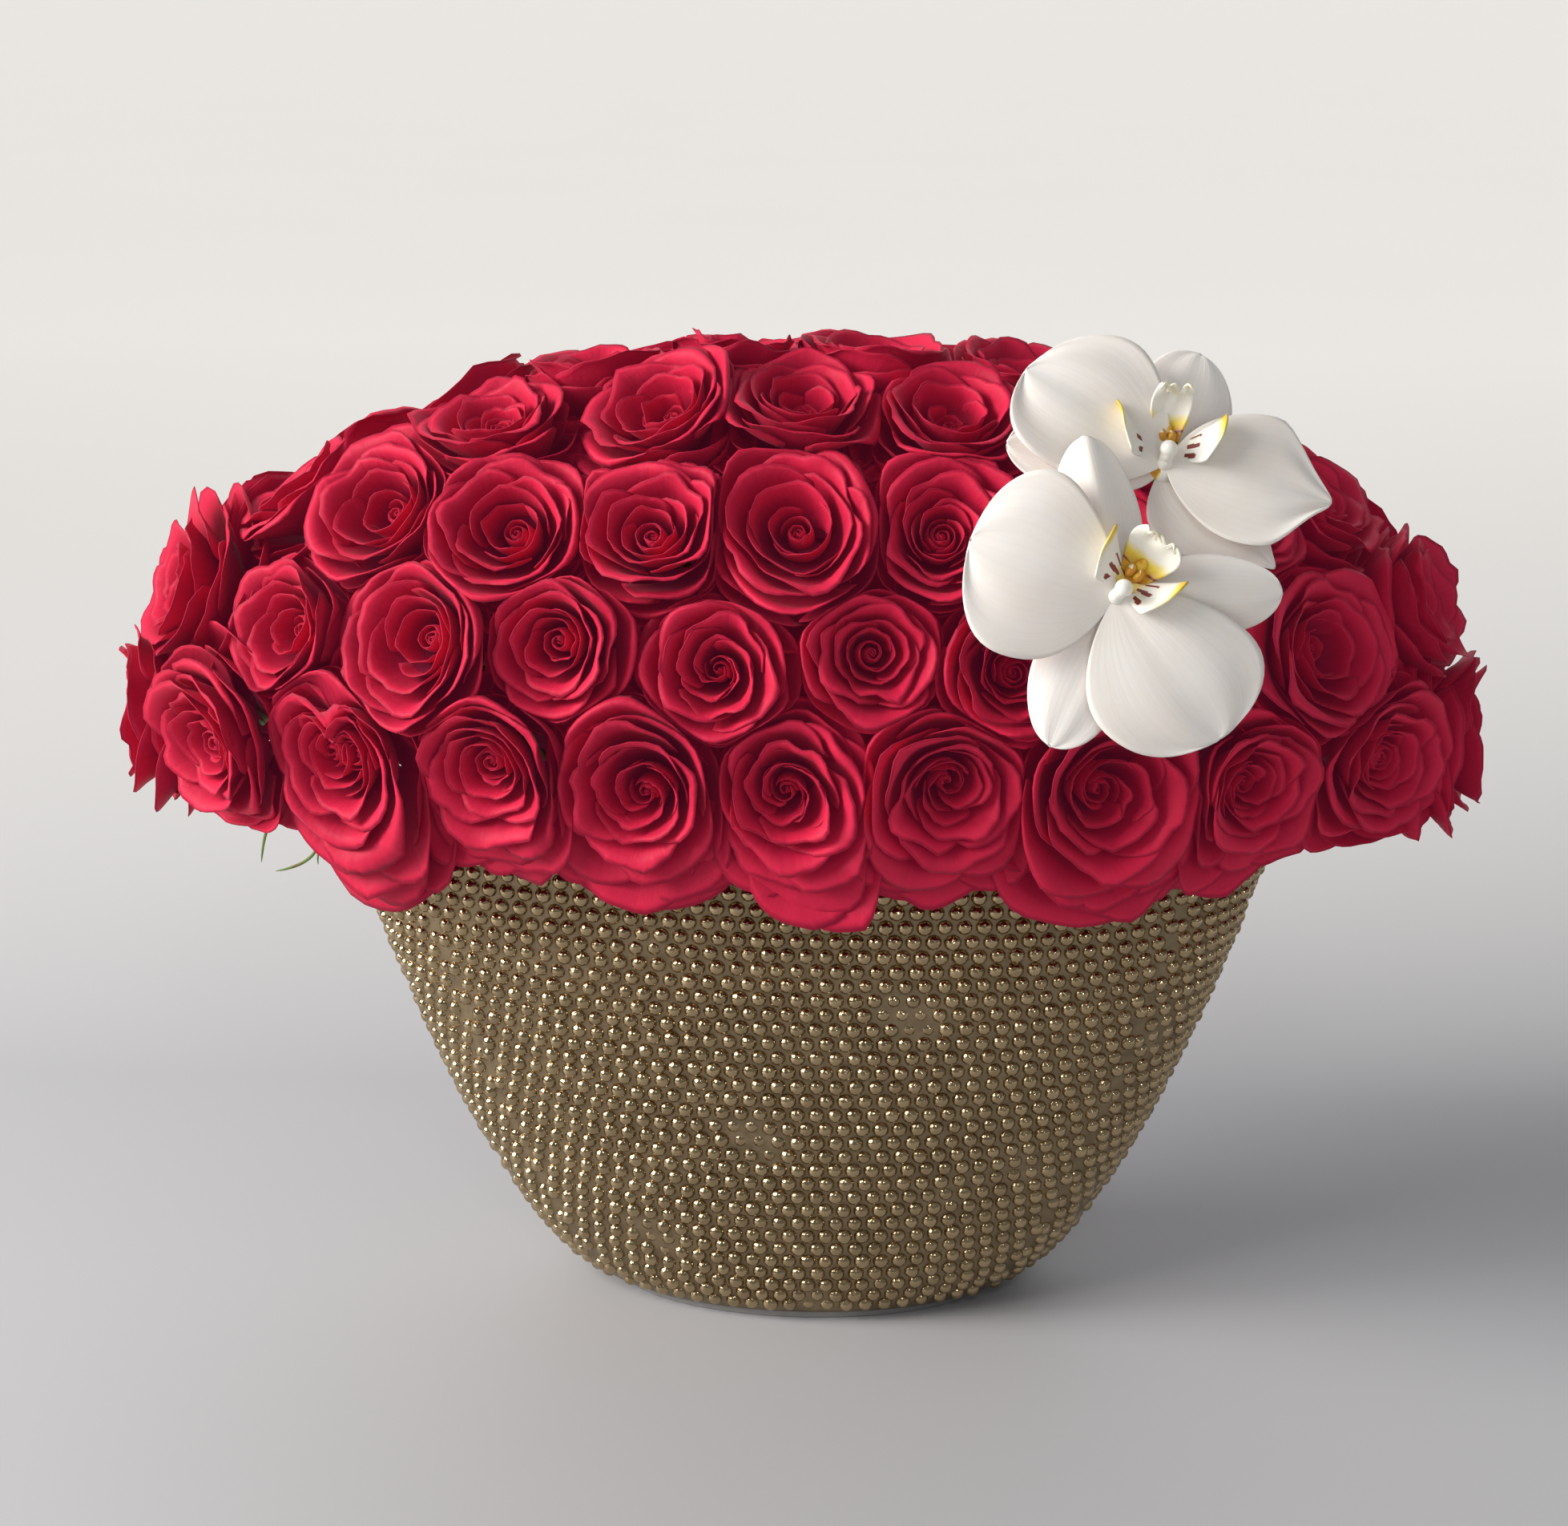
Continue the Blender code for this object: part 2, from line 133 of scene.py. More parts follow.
class Graph:
    """The node tree of a material or a world, with short ways to add nodes."""

    def __init__(self, owner: bpy.types.Material | bpy.types.World) -> None:
        """Starts on the tree of a new material or world."""
        owner.use_nodes = True
        self.owner, self.tree = owner, owner.node_tree

    @classmethod
    def of_material(cls, name: str) -> "Graph":
        """Starts a new material."""
        return cls(bpy.data.materials.new(name))

    def node(self, kind: str, settings: dict[str, Any], inputs: dict[Any, Any]) -> bpy.types.Node:
        """Adds a node.

        Args:
            kind: the node's type name.
            settings: attributes to set first. A ramp's stops are given as "stops".
            inputs: the value or link of each input socket, by name or number.

        Returns:
            The node.
        """
        made = self.tree.nodes.new(kind)
        for key, value in settings.items():
            if key != "stops":
                setattr(made, key, value)
                continue
            ramp = made.color_ramp.elements
            while len(ramp) < len(value):
                ramp.new(0.5)
            for stop, (place, colour) in zip(ramp, value):
                stop.position, stop.color = place, (*colour, 1.0)
        self.feed(made, inputs)
        return made

    def value(
        self, kind: str, settings: dict[str, Any], inputs: dict[Any, Any], output: int | str = 0
    ) -> Value:
        """Adds a node and wraps one of its outputs."""
        return Value(self, self.node(kind, settings, inputs).outputs[output])

    def feed(self, node: bpy.types.Node, inputs: dict[Any, Any]) -> None:
        """Sets or links a node's input sockets.

        Args:
            node: the node.
            inputs: the value or link of each input socket, by name or number.
        """
        for key, value in inputs.items():
            source, socket = value.source if isinstance(value, Value) else value, node.inputs[key]
            if isinstance(source, bpy.types.NodeSocket):
                self.tree.links.new(source, socket)
            else:
                socket.default_value = (*source, 1.0) if socket.type == "RGBA" else source

    def coordinates(self, output: str = "Object") -> bpy.types.NodeSocket:
        """Texture coordinates of the surface."""
        return self.node("ShaderNodeTexCoord", {}, {}).outputs[output]

    def attribute(self, name: str) -> Value:
        """A float attribute of the mesh."""
        return self.value("ShaderNodeAttribute", {"attribute_name": name}, {}, "Fac")

    def parts(self, vector: Any) -> list[Value]:
        """The three components of a vector."""
        node = self.node("ShaderNodeSeparateXYZ", {}, {0: vector})
        return [Value(self, socket) for socket in node.outputs]

    def joined(self, x: Any, y: Any, z: Any = 0.0) -> bpy.types.NodeSocket:
        """A vector from its components."""
        return self.node("ShaderNodeCombineXYZ", {}, {0: x, 1: y, 2: z}).outputs[0]

    def noise(self, vector: Any, scale: float, detail: float = 3.0, rough: float = 0.5) -> Value:
        """Noise between 0 and 1."""
        inputs = {"Vector": vector, "Scale": scale, "Detail": detail, "Roughness": rough}
        return self.value("ShaderNodeTexNoise", {}, inputs, "Fac")

    def ramp(self, value: Any, *stops: tuple[float, Colour]) -> bpy.types.NodeSocket:
        """A colour from a ramp of (place, colour) stops."""
        return self.node("ShaderNodeValToRGB", {"stops": stops}, {0: value}).outputs[0]

    def mixed(self, factor: Any, first: Any, second: Any) -> bpy.types.NodeSocket:
        """Two colours mixed."""
        return self.node("ShaderNodeMix", {"data_type": "RGBA"}, {0: factor, 6: first, 7: second}).outputs[2]

    def bump(self, height: Any, distance: float, strength: float = 1.0) -> bpy.types.NodeSocket:
        """A normal bent by a height in shares of a distance in metres."""
        inputs = {"Height": height, "Distance": distance, "Strength": strength}
        return self.node("ShaderNodeBump", {}, inputs).outputs[0]

    def finish(self, **inputs: Any) -> bpy.types.Material:
        """Feeds the Principled shader.

        Args:
            inputs: values or links by socket name, with underscores for its spaces.

        Returns:
            The finished material.
        """
        shader = self.tree.nodes["Principled BSDF"]
        self.feed(shader, {key.replace("_", " "): value for key, value in inputs.items()})
        return self.owner


# --- Finishes ------------------------------------------------------------------------------------------


@dataclass(frozen=True)
class PetalVelvet:
    """A rose petal with fine veins and a velvety sheen, its colour holding painted shade and painted light:
    deep at its foot, down in the shaded crevices, brighter towards its rim where the light falls, and darker
    again along the rim, a painted shade over the edge that catches the light.

    The faint constant glow is painted light too: it stands for the light that passes through real petals and
    lifts the shade.
    """

    # Painted shade and light: the deep colour is painted shade at the petal's foot, down in the crevices, and
    # the bright one is painted light towards the rim.
    deep: Colour = (0.135, 0.0040, 0.0220)
    body: Colour = (0.395, 0.0055, 0.0320)
    bright: Colour = (0.620, 0.0150, 0.0565)
    # The rim colour is painted shade along the petal's edge, which catches the light.
    rim: Colour = (0.330, 0.0055, 0.0290)
    sheen: Colour = (1.0, 0.45, 0.50)
    # A constant painted glow that lifts the shade, standing for the light that passes through the petals.
    depth_glow: Colour = (0.0300, 0.0018, 0.0070)
    mottle_scale: float = 55.0
    crumple_scale: float = 210.0
    grain_scale: float = 900.0
    veins: float = 17.0
    rim_span: Pair = (0.940, 0.985)
    rim_strength: float = 0.80
    relief: float = 0.00022

    def material(self) -> bpy.types.Material:
        """Builds the finish. It reads the petal's UV map: U across and V from foot to rim.

        Returns:
            The material.
        """
        graph = Graph.of_material("rose_petal_velvet")
        across, along, _ = graph.parts(graph.coordinates("UV"))
        place, tone = graph.coordinates(), graph.attribute("tone")
        mottle = graph.noise(place, self.mottle_scale, 4.0, 0.6)
        grain = graph.noise(place, self.grain_scale, 2.0)
        crumple = graph.noise(place, self.crumple_scale)
        spoke = (across - 0.5) * (1.5 - 0.55 * along) * self.veins
        fan = graph.noise(graph.joined(spoke, along * 1.2, tone * 9.0), 2.2)
        shade = along + (mottle - 0.5) * 0.30 + (tone - 0.5) * 0.22 + (fan - 0.5) * 0.16
        # Painted shade at the foot and painted light towards the rim, mixed by the place along the petal.
        colour = graph.ramp(shade, (0.18, self.deep), (0.60, self.body), (0.97, self.bright))
        # Painted shade along the rim: the edge band is darkened where the thin edge catches the light.
        edge = (along + (grain - 0.5) * 0.02).step(*self.rim_span)
        return graph.finish(
            Base_Color=graph.mixed(edge * self.rim_strength, colour, self.rim),
            Roughness=0.62 - mottle * 0.12,
            Specular_IOR_Level=0.16,
            Sheen_Weight=0.07,
            Sheen_Roughness=0.45,
            Sheen_Tint=self.sheen,
            # Painted glow: constant emission that lifts the shade.
            Emission_Color=self.depth_glow,
            Emission_Strength=1.0,
            Normal=graph.bump(fan * 0.6 + grain * 0.2 + crumple * 1.2, self.relief),
        )


@dataclass(frozen=True)
class OrchidWax:
    """A moth orchid's white petal: faint veins, a warm blush towards its foot and a clean edge."""

    white: Colour = (0.915, 0.875, 0.825)
    blush: Colour = (0.800, 0.695, 0.610)
    vein: Colour = (0.740, 0.655, 0.600)
    cloud_scale: float = 38.0
    veins: float = 95.0
    vein_strength: float = 0.07
    relief: float = 0.00007

    def material(self) -> bpy.types.Material:
        """Builds the finish. It reads the petal's UV map: U across and V from foot to tip.

        Returns:
            The material.
        """
        graph = Graph.of_material("orchid_petal_wax")
        across, along, _ = graph.parts(graph.coordinates("UV"))
        place = graph.coordinates()
        middle = (across - 0.5) * (1.35 - 0.5 * along)
        cloud = graph.noise(place, self.cloud_scale)
        wander = graph.noise(place, 90.0, 2.0) - 0.5
        lines = (middle * self.veins + wander * 2.6).sine() * 0.5 + 0.5
        fibre = graph.noise(graph.joined(middle * 60.0, along * 4.0), 1.0)
        colour = graph.mixed((cloud * 0.9 - along * 0.35).clamped(), self.white, self.blush)
        vein = lines ** 5.0 * self.vein_strength * (1.0 - along.step(0.82, 1.0))
        return graph.finish(
            Base_Color=graph.mixed(vein.clamped(), colour, self.vein),
            Roughness=0.40 + cloud * 0.15,
            Specular_IOR_Level=0.35,
            Subsurface_Weight=0.25,
            Subsurface_Radius=(0.004, 0.003, 0.002),
            Subsurface_Scale=0.5,
            Sheen_Weight=0.10,
            Normal=graph.bump(lines * 0.2 + fibre * 0.8, self.relief),
        )


@dataclass(frozen=True)
class OrchidThroat:
    """An orchid's lip: white lobes whose edges and foot are yellow, with red-brown stripes inside."""

    white: Colour = (0.870, 0.850, 0.780)
    yellow: Colour = (0.830, 0.640, 0.060)
    callus: Colour = (0.600, 0.270, 0.020)
    stripe: Colour = (0.220, 0.030, 0.020)
    cloud_scale: float = 260.0
    grain_scale: float = 1500.0
    relief: float = 0.0002

    def material(self) -> bpy.types.Material:
        """Builds the finish. It reads the mesh's attributes gold and stripe, each from 0 to 1.

        Returns:
            The material.
        """
        graph = Graph.of_material("orchid_throat")
        place = graph.coordinates()
        cloud, grain = graph.noise(place, self.cloud_scale), graph.noise(place, self.grain_scale, 2.0)
        gold = (graph.attribute("gold") + (cloud - 0.5) * 0.35).clamped()
        stripe = (graph.attribute("stripe") + (cloud - 0.5) * 0.5).step(0.42, 0.62)
        colour = graph.ramp(gold, (0.18, self.white), (0.62, self.yellow), (1.0, self.callus))
        return graph.finish(
            Base_Color=graph.mixed(stripe, colour, self.stripe),
            Roughness=0.38,
            Subsurface_Weight=0.15,
            Subsurface_Radius=(0.003, 0.002, 0.001),
            Normal=graph.bump(cloud * 0.6 + grain * 0.4, self.relief),
        )


@dataclass(frozen=True)
class PolishedStud:
    """A gilt stud: bright metal with slight dents and a tint that differs from stud to stud."""

    gold: Colour = (0.500, 0.385, 0.225)
    brown: Colour = (0.320, 0.235, 0.135)
    dent_scale: float = 520.0
    relief: float = 0.0005

    def material(self) -> bpy.types.Material:
        """Builds the finish. It reads the mesh's tone attribute.

        Returns:
            The material.
        """
        graph = Graph.of_material("polished_stud")
        tone = graph.attribute("tone")
        dents = graph.noise(graph.coordinates(), self.dent_scale, 2.0)
        return graph.finish(
            Base_Color=graph.mixed((tone * 0.55 + dents * 0.45).clamped(), self.brown, self.gold),
            Metallic=1.0,
            Roughness=0.10 + tone * 0.07,
            Normal=graph.bump(dents, self.relief, 0.6),
        )


@dataclass(frozen=True)
class GiltGround:
    """The vase between its studs: duller taupe gilt, darker in random patches and bare along the foot."""

    gilt: Colour = (0.330, 0.250, 0.150)
    dark: Colour = (0.205, 0.150, 0.088)
    bare: Colour = (0.360, 0.350, 0.340)
    foot_height: float = 0.0034
    cloud_scale: float = 130.0
    grain_scale: float = 1400.0
    relief: float = 0.0003

    def material(self) -> bpy.types.Material:
        """Builds the finish.

        Returns:
            The material.
        """
        graph = Graph.of_material("gilt_ground")
        place = graph.coordinates()
        height = graph.parts(place)[2]
        cloud, grain = graph.noise(place, self.cloud_scale, 4.0, 0.6), graph.noise(place, self.grain_scale)
        foot = 1.0 - (height + (cloud - 0.5) * 0.001).step(self.foot_height - 0.0007, self.foot_height)
        colour = graph.ramp(cloud, (0.30, self.dark), (0.68, self.gilt))
        return graph.finish(
            Base_Color=graph.mixed(foot, colour, self.bare),
            Metallic=0.85 - foot * 0.7,
            Roughness=0.34 + cloud * 0.20,
            Normal=graph.bump(grain * 0.5 + cloud * 0.5, self.relief),
        )


@dataclass(frozen=True)
class FloralFoam:
    """Wet floral foam: dark green, with fine open pores."""

    green: Colour = (0.020, 0.075, 0.035)
    pale: Colour = (0.060, 0.150, 0.075)
    pore_scale: float = 1100.0
    patch_scale: float = 60.0
    relief: float = 0.0008

    def material(self) -> bpy.types.Material:
        """Builds the finish.

        Returns:
            The material.
        """
        graph = Graph.of_material("floral_foam")
        place = graph.coordinates()
        pores, patch = graph.noise(place, self.pore_scale, 4.0, 0.7), graph.noise(place, self.patch_scale)
        colour = graph.mixed((pores * 0.6 + patch * 0.4).clamped(), self.green, self.pale)
        return graph.finish(Base_Color=colour, Roughness=0.92, Normal=graph.bump(pores, self.relief))


@dataclass(frozen=True)
class Greenery:
    """Stems, calyxes and sepals: fresh green with fine fibres, in patches paler or redder."""

    leaf: Colour = (0.070, 0.170, 0.035)
    pale: Colour = (0.210, 0.320, 0.080)
    red: Colour = (0.200, 0.060, 0.040)
    patch_scale: float = 120.0
    fibre_scale: float = 1000.0
    relief: float = 0.0002

    def material(self) -> bpy.types.Material:
        """Builds the finish.

        Returns:
            The material.
        """
        graph = Graph.of_material("rose_green")
        place = graph.coordinates()
        patch, fibre = graph.noise(place, self.patch_scale, 4.0), graph.noise(place, self.fibre_scale, 2.0)
        colour = graph.ramp(patch, (0.32, self.leaf), (0.62, self.pale), (0.85, self.red))
        return graph.finish(
            Base_Color=colour, Roughness=0.50 + fibre * 0.15, Normal=graph.bump(fibre, self.relief)
        )


@dataclass(frozen=True)
class PaleStone:
    """The studio's floor: plain, pale and matt near the object, and paler and glowing with its distance from
    it.

    The steepness falls with the distance, from the object's front on, and the floor pales as it falls. The
    far floor's paler colour and its glow are painted light, standing for a brightly lit backdrop.
    """

    pale: Colour = (0.490, 0.490, 0.505)
    # The far colour and the glow are painted light, for a brightly lit backdrop.
    far: Colour = (0.930, 0.910, 0.880)
    glow: Colour = (0.240, 0.225, 0.195)
    grey: Colour = (0.5, 0.5, 0.5)
    black: Colour = (0.0, 0.0, 0.0)
    drop: float = 0.52
    lead: float = 1.0
    near_steepness: float = 0.44
    fade_range: float = 0.30

    def material(self) -> bpy.types.Material:
        """Builds the finish.

        Returns:
            The material.
        """
        graph = Graph.of_material("studio_floor")
        place = graph.coordinates()
        across, depth, _ = graph.parts(place)
        away = depth.at_least(abs(across) * 1.2 - 0.5).at_least(-1.2 - depth)
        steepness = (away + self.lead).at_least(0.3) ** -1.0 * self.drop
        # How much painted light: the floor pales and glows with its distance.
        painted_light_fade = ((self.near_steepness - steepness) / self.fade_range).clamped()
        cloud = graph.noise(place, 1.5, 2.0)
        return graph.finish(
            Base_Color=graph.mixed(cloud * 0.10, graph.mixed(painted_light_fade, self.pale, self.far), self.grey),
            Roughness=0.55,
            Specular_IOR_Level=0.3,
            Emission_Color=graph.mixed(painted_light_fade, self.black, self.glow),
            Emission_Strength=1.0,
        )


# --- Mesh helpers --------------------------------------------------------------------------------------


def mesh_of(name: str, bm: bmesh.types.BMesh) -> bpy.types.Mesh:
    """Turns a bmesh into a mesh and frees it.

    Args:
        name: the mesh's name.
        bm: the bmesh.

    Returns:
        The mesh.
    """
    mesh = bpy.data.meshes.new(name)
    bm.to_mesh(mesh)
    bm.free()
    return mesh


def points_of(mesh: bpy.types.Mesh) -> Array:
    """Reads a mesh's points.

    Args:
        mesh: the mesh.

    Returns:
        One row for each point.
    """
    flat = np.empty(len(mesh.vertices) * 3)
    mesh.vertices.foreach_get("co", flat)
    return flat.reshape(-1, 3)


def move_points(mesh: bpy.types.Mesh, points: Array) -> bpy.types.Mesh:
    """Moves a mesh's points.

    Args:
        mesh: the mesh.
        points: one row for each point. Columns past the third are left out.

    Returns:
        The mesh.
    """
    mesh.vertices.foreach_set("co", np.ascontiguousarray(points[:, :3], dtype=np.float32).ravel())
    mesh.update()
    return mesh


def add_attribute(mesh: bpy.types.Mesh, name: str, values: Array) -> None:
    """Adds a float attribute on a mesh's points."""
    made = mesh.attributes.new(name, "FLOAT", "POINT")
    made.data.foreach_set("value", np.ascontiguousarray(values, dtype=np.float32))


def sheet_template(columns: int, rows: int) -> bpy.types.Mesh:
    """A flat grid over -1 to 1 with a UV map, from which petals are shaped.

    Args:
        columns: faces across, along X.
        rows: faces from foot to rim, along Y.

    Returns:
        The mesh.
    """
    bm = bmesh.new()
    bm.loops.layers.uv.new("UVMap")
    bmesh.ops.create_grid(bm, x_segments=columns, y_segments=rows, size=1.0, calc_uvs=True)
    return mesh_of("sheet_template", bm)


def repeated(name: str, template: bpy.types.Mesh, count: int) -> tuple[bpy.types.Mesh, Array, Array]:
    """Repeats a template mesh, ready for each copy to be shaped.

    Args:
        name: the new mesh's name.
        template: the mesh to repeat.
        count: how many copies.

    Returns:
        The new mesh, its points, and the number of the copy that each point belongs to.
    """
    bm = bmesh.new()
    for _ in range(count):
        bm.from_mesh(template)
    mesh = mesh_of(name, bm)
    return mesh, points_of(mesh), np.repeat(np.arange(count), len(template.vertices))


def shaped_sheets(
    name: str, sheet: bpy.types.Mesh, makers: Sequence[Callable[[Array, Array], Array]]
) -> tuple[bpy.types.Mesh, Array]:
    """Repeats a flat sheet and works out where each copy's points go, by the copy's own maker.

    Args:
        name: the new mesh's name.
        sheet: the flat sheet.
        makers: each turns places across, from -1 to 1, and along, from 0 to 1, into rows of x, y, z and
            any further values.

    Returns:
        The new mesh, still flat, and the rows.
    """
    mesh, flat, number = repeated(name, sheet, len(makers))
    rows = []
    for index, maker in enumerate(makers):
        mine = flat[number == index]
        rows.append(maker(mine[:, 0], (mine[:, 1] + 1.0) / 2))
    return mesh, np.concatenate(rows)


def add_piece(
    mesh: bpy.types.Mesh,
    material: bpy.types.Material,
    stands_for: Sequence[str] = (),
    thickness: float = 0.0,
) -> bpy.types.Object:
    """Puts a finished mesh in the scene as a piece of the object.

    Args:
        mesh: the mesh, named as the piece will be.
        material: its finish.
        stands_for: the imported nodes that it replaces.
        thickness: a sheet's thickness, laid evenly to both sides of it.

    Returns:
        The piece.
    """
    mesh.materials.append(material)
    mesh.shade_smooth()
    piece = bpy.data.objects.new(mesh.name, mesh)
    bpy.context.scene.collection.objects.link(piece)
    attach(piece, "root")
    if stands_for:
        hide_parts(*stands_for)
    if thickness:
        solid = piece.modifiers.new("thickness", "SOLIDIFY")
        solid.thickness, solid.offset, solid.use_even_offset = thickness, 0.0, False
    return piece


def redress(name: str, material: bpy.types.Material) -> None:
    """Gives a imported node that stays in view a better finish."""
    bpy.data.objects[name].data.materials.clear()
    bpy.data.objects[name].data.materials.append(material)


def smooth(value: Array, low: float, high: float) -> Array:
    """A smooth step from 0 at low to 1 at high."""
    share = np.clip((value - low) / (high - low), 0.0, 1.0)
    return share * share * (3.0 - 2.0 * share)


def unit_rows(rows: Array) -> Array:
    """Vectors, one a row, brought to unit length."""
    return rows / np.linalg.norm(rows, axis=1)[:, None]


def run_along(step: Array, width: float = 1.0) -> Array:
    """The run up to each sample of a speed that is sampled every so much, by the trapezium rule."""
    return np.concatenate([[0.0], np.cumsum((step[1:] + step[:-1]) / 2 * width)])


def between(lines: Array, line: Array, at: Array) -> Array:
    """Reads rows of samples at places between their columns.

    Args:
        lines: the samples, one row for each line.
        line: the line to read for each value.
        at: the place to read at, in columns.

    Returns:
        The values.
    """
    low = np.minimum(np.floor(at).astype(int), lines.shape[1] - 2)
    part = at - low
    return lines[line, low] * (1 - part) + lines[line, low + 1] * part


def axes_along(direction: Vector, towards: Vector) -> Array:
    """Works out three unit axes round a direction.

    Args:
        direction: the last axis.
        towards: what the first axis comes nearest to.

    Returns:
        The axes as rows: across, side and the direction itself.
    """
    axis = direction.normalized()
    across = (towards - axis * towards.dot(axis)).normalized()
    return np.array((across, axis.cross(across), axis))


def turned_to(direction: Vector) -> Matrix:
    """A turn that brings +Z to a direction."""
    return Matrix(axes_along(direction, SKEWED)).transposed().to_4x4()


# --- Dome of roses: where each rose stands ---------------------------------------------------------------


@dataclass
class Rose:
    """A rose's place on the dome and the run of its neck and stem."""

    place: Vector
    face: Vector
    neck: Vector
    row: int
    node: str = ""
    size: float = 1.0
    neighbours: list["Rose"] = field(default_factory=list)

    def axes(self) -> Array:
        """The head's axes: across, up the dome, and out of its face."""
        return axes_along(self.face, UP.cross(self.face) + Vector((1e-4, 0.0, 0.0)))


@dataclass(frozen=True)
class Ring:
    """A ring of roses: its tilt over the dome's base in degrees, how many, and its turn in steps."""

    tilt: float
    count: int
    turn: float


@dataclass(frozen=True)
class Dome:
    """The ellipsoid through the middles of the roses' faces, and how the roses are set out over it."""

    half: Place = (0.252, 0.110, 0.140)
    base: float = 0.239
    rings: tuple[Ring, ...] = (
        Ring(0.0, 21, 0.0), Ring(19.0, 19, 0.5), Ring(37.5, 17, 0.0), Ring(60.5, 10, 0.0),
    )
    top_x: tuple[float, ...] = (-0.079, -0.026, 0.026, 0.079)
    spacing: float = 0.055
    spread_rounds: int = 160
    end_thinning: float = 0.20
    face_span: float = 0.215
    neck_span: float = 0.150
    orchid_place: Place = (0.116, -0.087, 0.300)
    group_size: int = 4
    reach: float = 0.078
    size_spread: float = 0.065
    most_size: float = 0.11
    stray: float = 0.0022
    tilt: float = 0.10
    most_tilt: float = 0.18
    broad_place: Place = (-0.164, -0.083, 0.239)
    broad_reach: float = 0.02
    broad_size: float = 1.09
    free_rim: float = 0.175
    left_end: float = -0.2
    left_push: float = 0.007
    back_from: float = 0.006
    top_back_from: float = 0.02
    top_rise: float = 0.1
    push_share: float = 0.2
    aim_share: Place = (0.53, 0.25, 0.30)
    aim_height: float = 0.225

    def ring_angles(self, count: int, turn: float) -> Array:
        """Works out angles round the plan with even steps that widen at the ends.

        Args:
            count: how many.
            turn: where the first stands, in steps from the front.

        Returns:
            The angles.
        """
        t = np.linspace(0.0, math.tau, 2881)
        speed = np.hypot(self.half[0] * np.cos(t), self.half[1] * np.sin(t))
        along = run_along(speed * (1.0 - self.end_thinning * np.sin(t) ** 6))
        return np.interp((np.arange(count) + turn) / count * along[-1], along, t)

    def starting_places(self) -> Array:
        """Lays out the roses on a unit dome.

        Returns:
            Their places, ring by ring from below, then the line along the top.
        """
        places = []
        for ring in self.rings:
            level, reach = math.sin(math.radians(ring.tilt)), math.cos(math.radians(ring.tilt))
            angles = self.ring_angles(ring.count, ring.turn)
            places += [(reach * math.sin(a), -reach * math.cos(a), level) for a in angles]
        units = [x / self.half[0] for x in self.top_x]
        return np.array(places + [(unit, 0.0, math.sqrt(1.0 - unit * unit)) for unit in units])

    def spread(self) -> Array:
        """Pushes the roses apart over the dome until they are evenly spaced.

        Returns:
            Their places.
        """
        half, unit = np.array(self.half), self.starting_places()
        lowest = np.arange(len(unit)) < self.rings[0].count
        for _ in range(self.spread_rounds):
            points = unit * half
            apart = points[:, None] - points[None]
            distance = np.linalg.norm(apart, axis=2) + np.eye(len(points))
            short = np.clip(self.spacing - distance, 0.0, None) * (1.0 - np.eye(len(points)))
            push = (apart / distance[:, :, None] * short[:, :, None]).sum(axis=1)
            unit = (points + self.push_share * push) / half
            unit[lowest, 2] = 0.0
            unit = unit_rows(unit)
        return unit * half + np.array((0.0, 0.0, self.base))

    def outward(self, place: Vector, span: float) -> Vector:
        """The way out of the dome at a place, for a dome of a half span."""
        x, y, z = place
        return Vector((x / span**2, y / self.half[1] ** 2, (z - self.base) / self.half[2] ** 2)).normalized()

    def vary(self, rose: Rose, rng: np.random.Generator) -> None:
        """Gives a rose its own size, tilt and small shift.

        Args:
            rose: the rose.
            rng: the source of chance.
        """
        rose.size = 1.0 + float(np.clip(rng.normal(0.0, self.size_spread), -self.most_size, self.most_size))
        across, up, _ = rose.axes()
        shift = rng.normal(0.0, self.stray, 2)
        rose.place = rose.place + Vector(across * shift[0] + up * shift[1])
        if rose.place.x < self.left_end:
            rose.place += rose.face * self.left_push
        if (rose.place - Vector(self.broad_place)).length < self.broad_reach:
            rose.size = self.broad_size
        tilt = np.clip(rng.normal(0.0, self.tilt, 2), -self.most_tilt, self.most_tilt)
        rose.face = (rose.face + Vector(across * tilt[0] + up * tilt[1])).normalized()

    def roses(self) -> list[Rose]:
        """Sets out all roses but the one whose place the orchids' stalks take.

        Returns:
            The roses, with their nodes and neighbours.
        """
        counts = [ring.count for ring in self.rings] + [len(self.top_x)]
        rows = [row for row, count in enumerate(counts) for _ in range(count)]
        roses = []
        for place, row in zip(map(Vector, self.spread()), rows):
            face, neck = self.outward(place, self.face_span), self.outward(place, self.neck_span)
            roses.append(Rose(place, face, neck, row))
        roses.remove(min(roses, key=lambda rose: (rose.place - Vector(self.orchid_place)).length))
        self.name_nodes(roses)
        rng = np.random.default_rng(31)
        for rose in roses:
            self.vary(rose, rng)
        for rose in roses:
            others = (mate for mate in roses if mate is not rose)
            rose.neighbours = [mate for mate in others if (mate.place - rose.place).length < self.reach]
            if rose.row == 0 and abs(rose.place.x) > self.free_rim:
                below = rose.place - Vector(rose.axes()[1]) * self.spacing
                rose.neighbours.append(Rose(below, rose.face, rose.neck, -1))
        return roses

    def is_behind(self, place: Vector) -> bool:
        """Whether a rose belongs to the rear half and not to the line along the top."""
        on_top = place.y < self.top_back_from and place.z > self.base + self.top_rise
        return place.y > self.back_from and not on_top

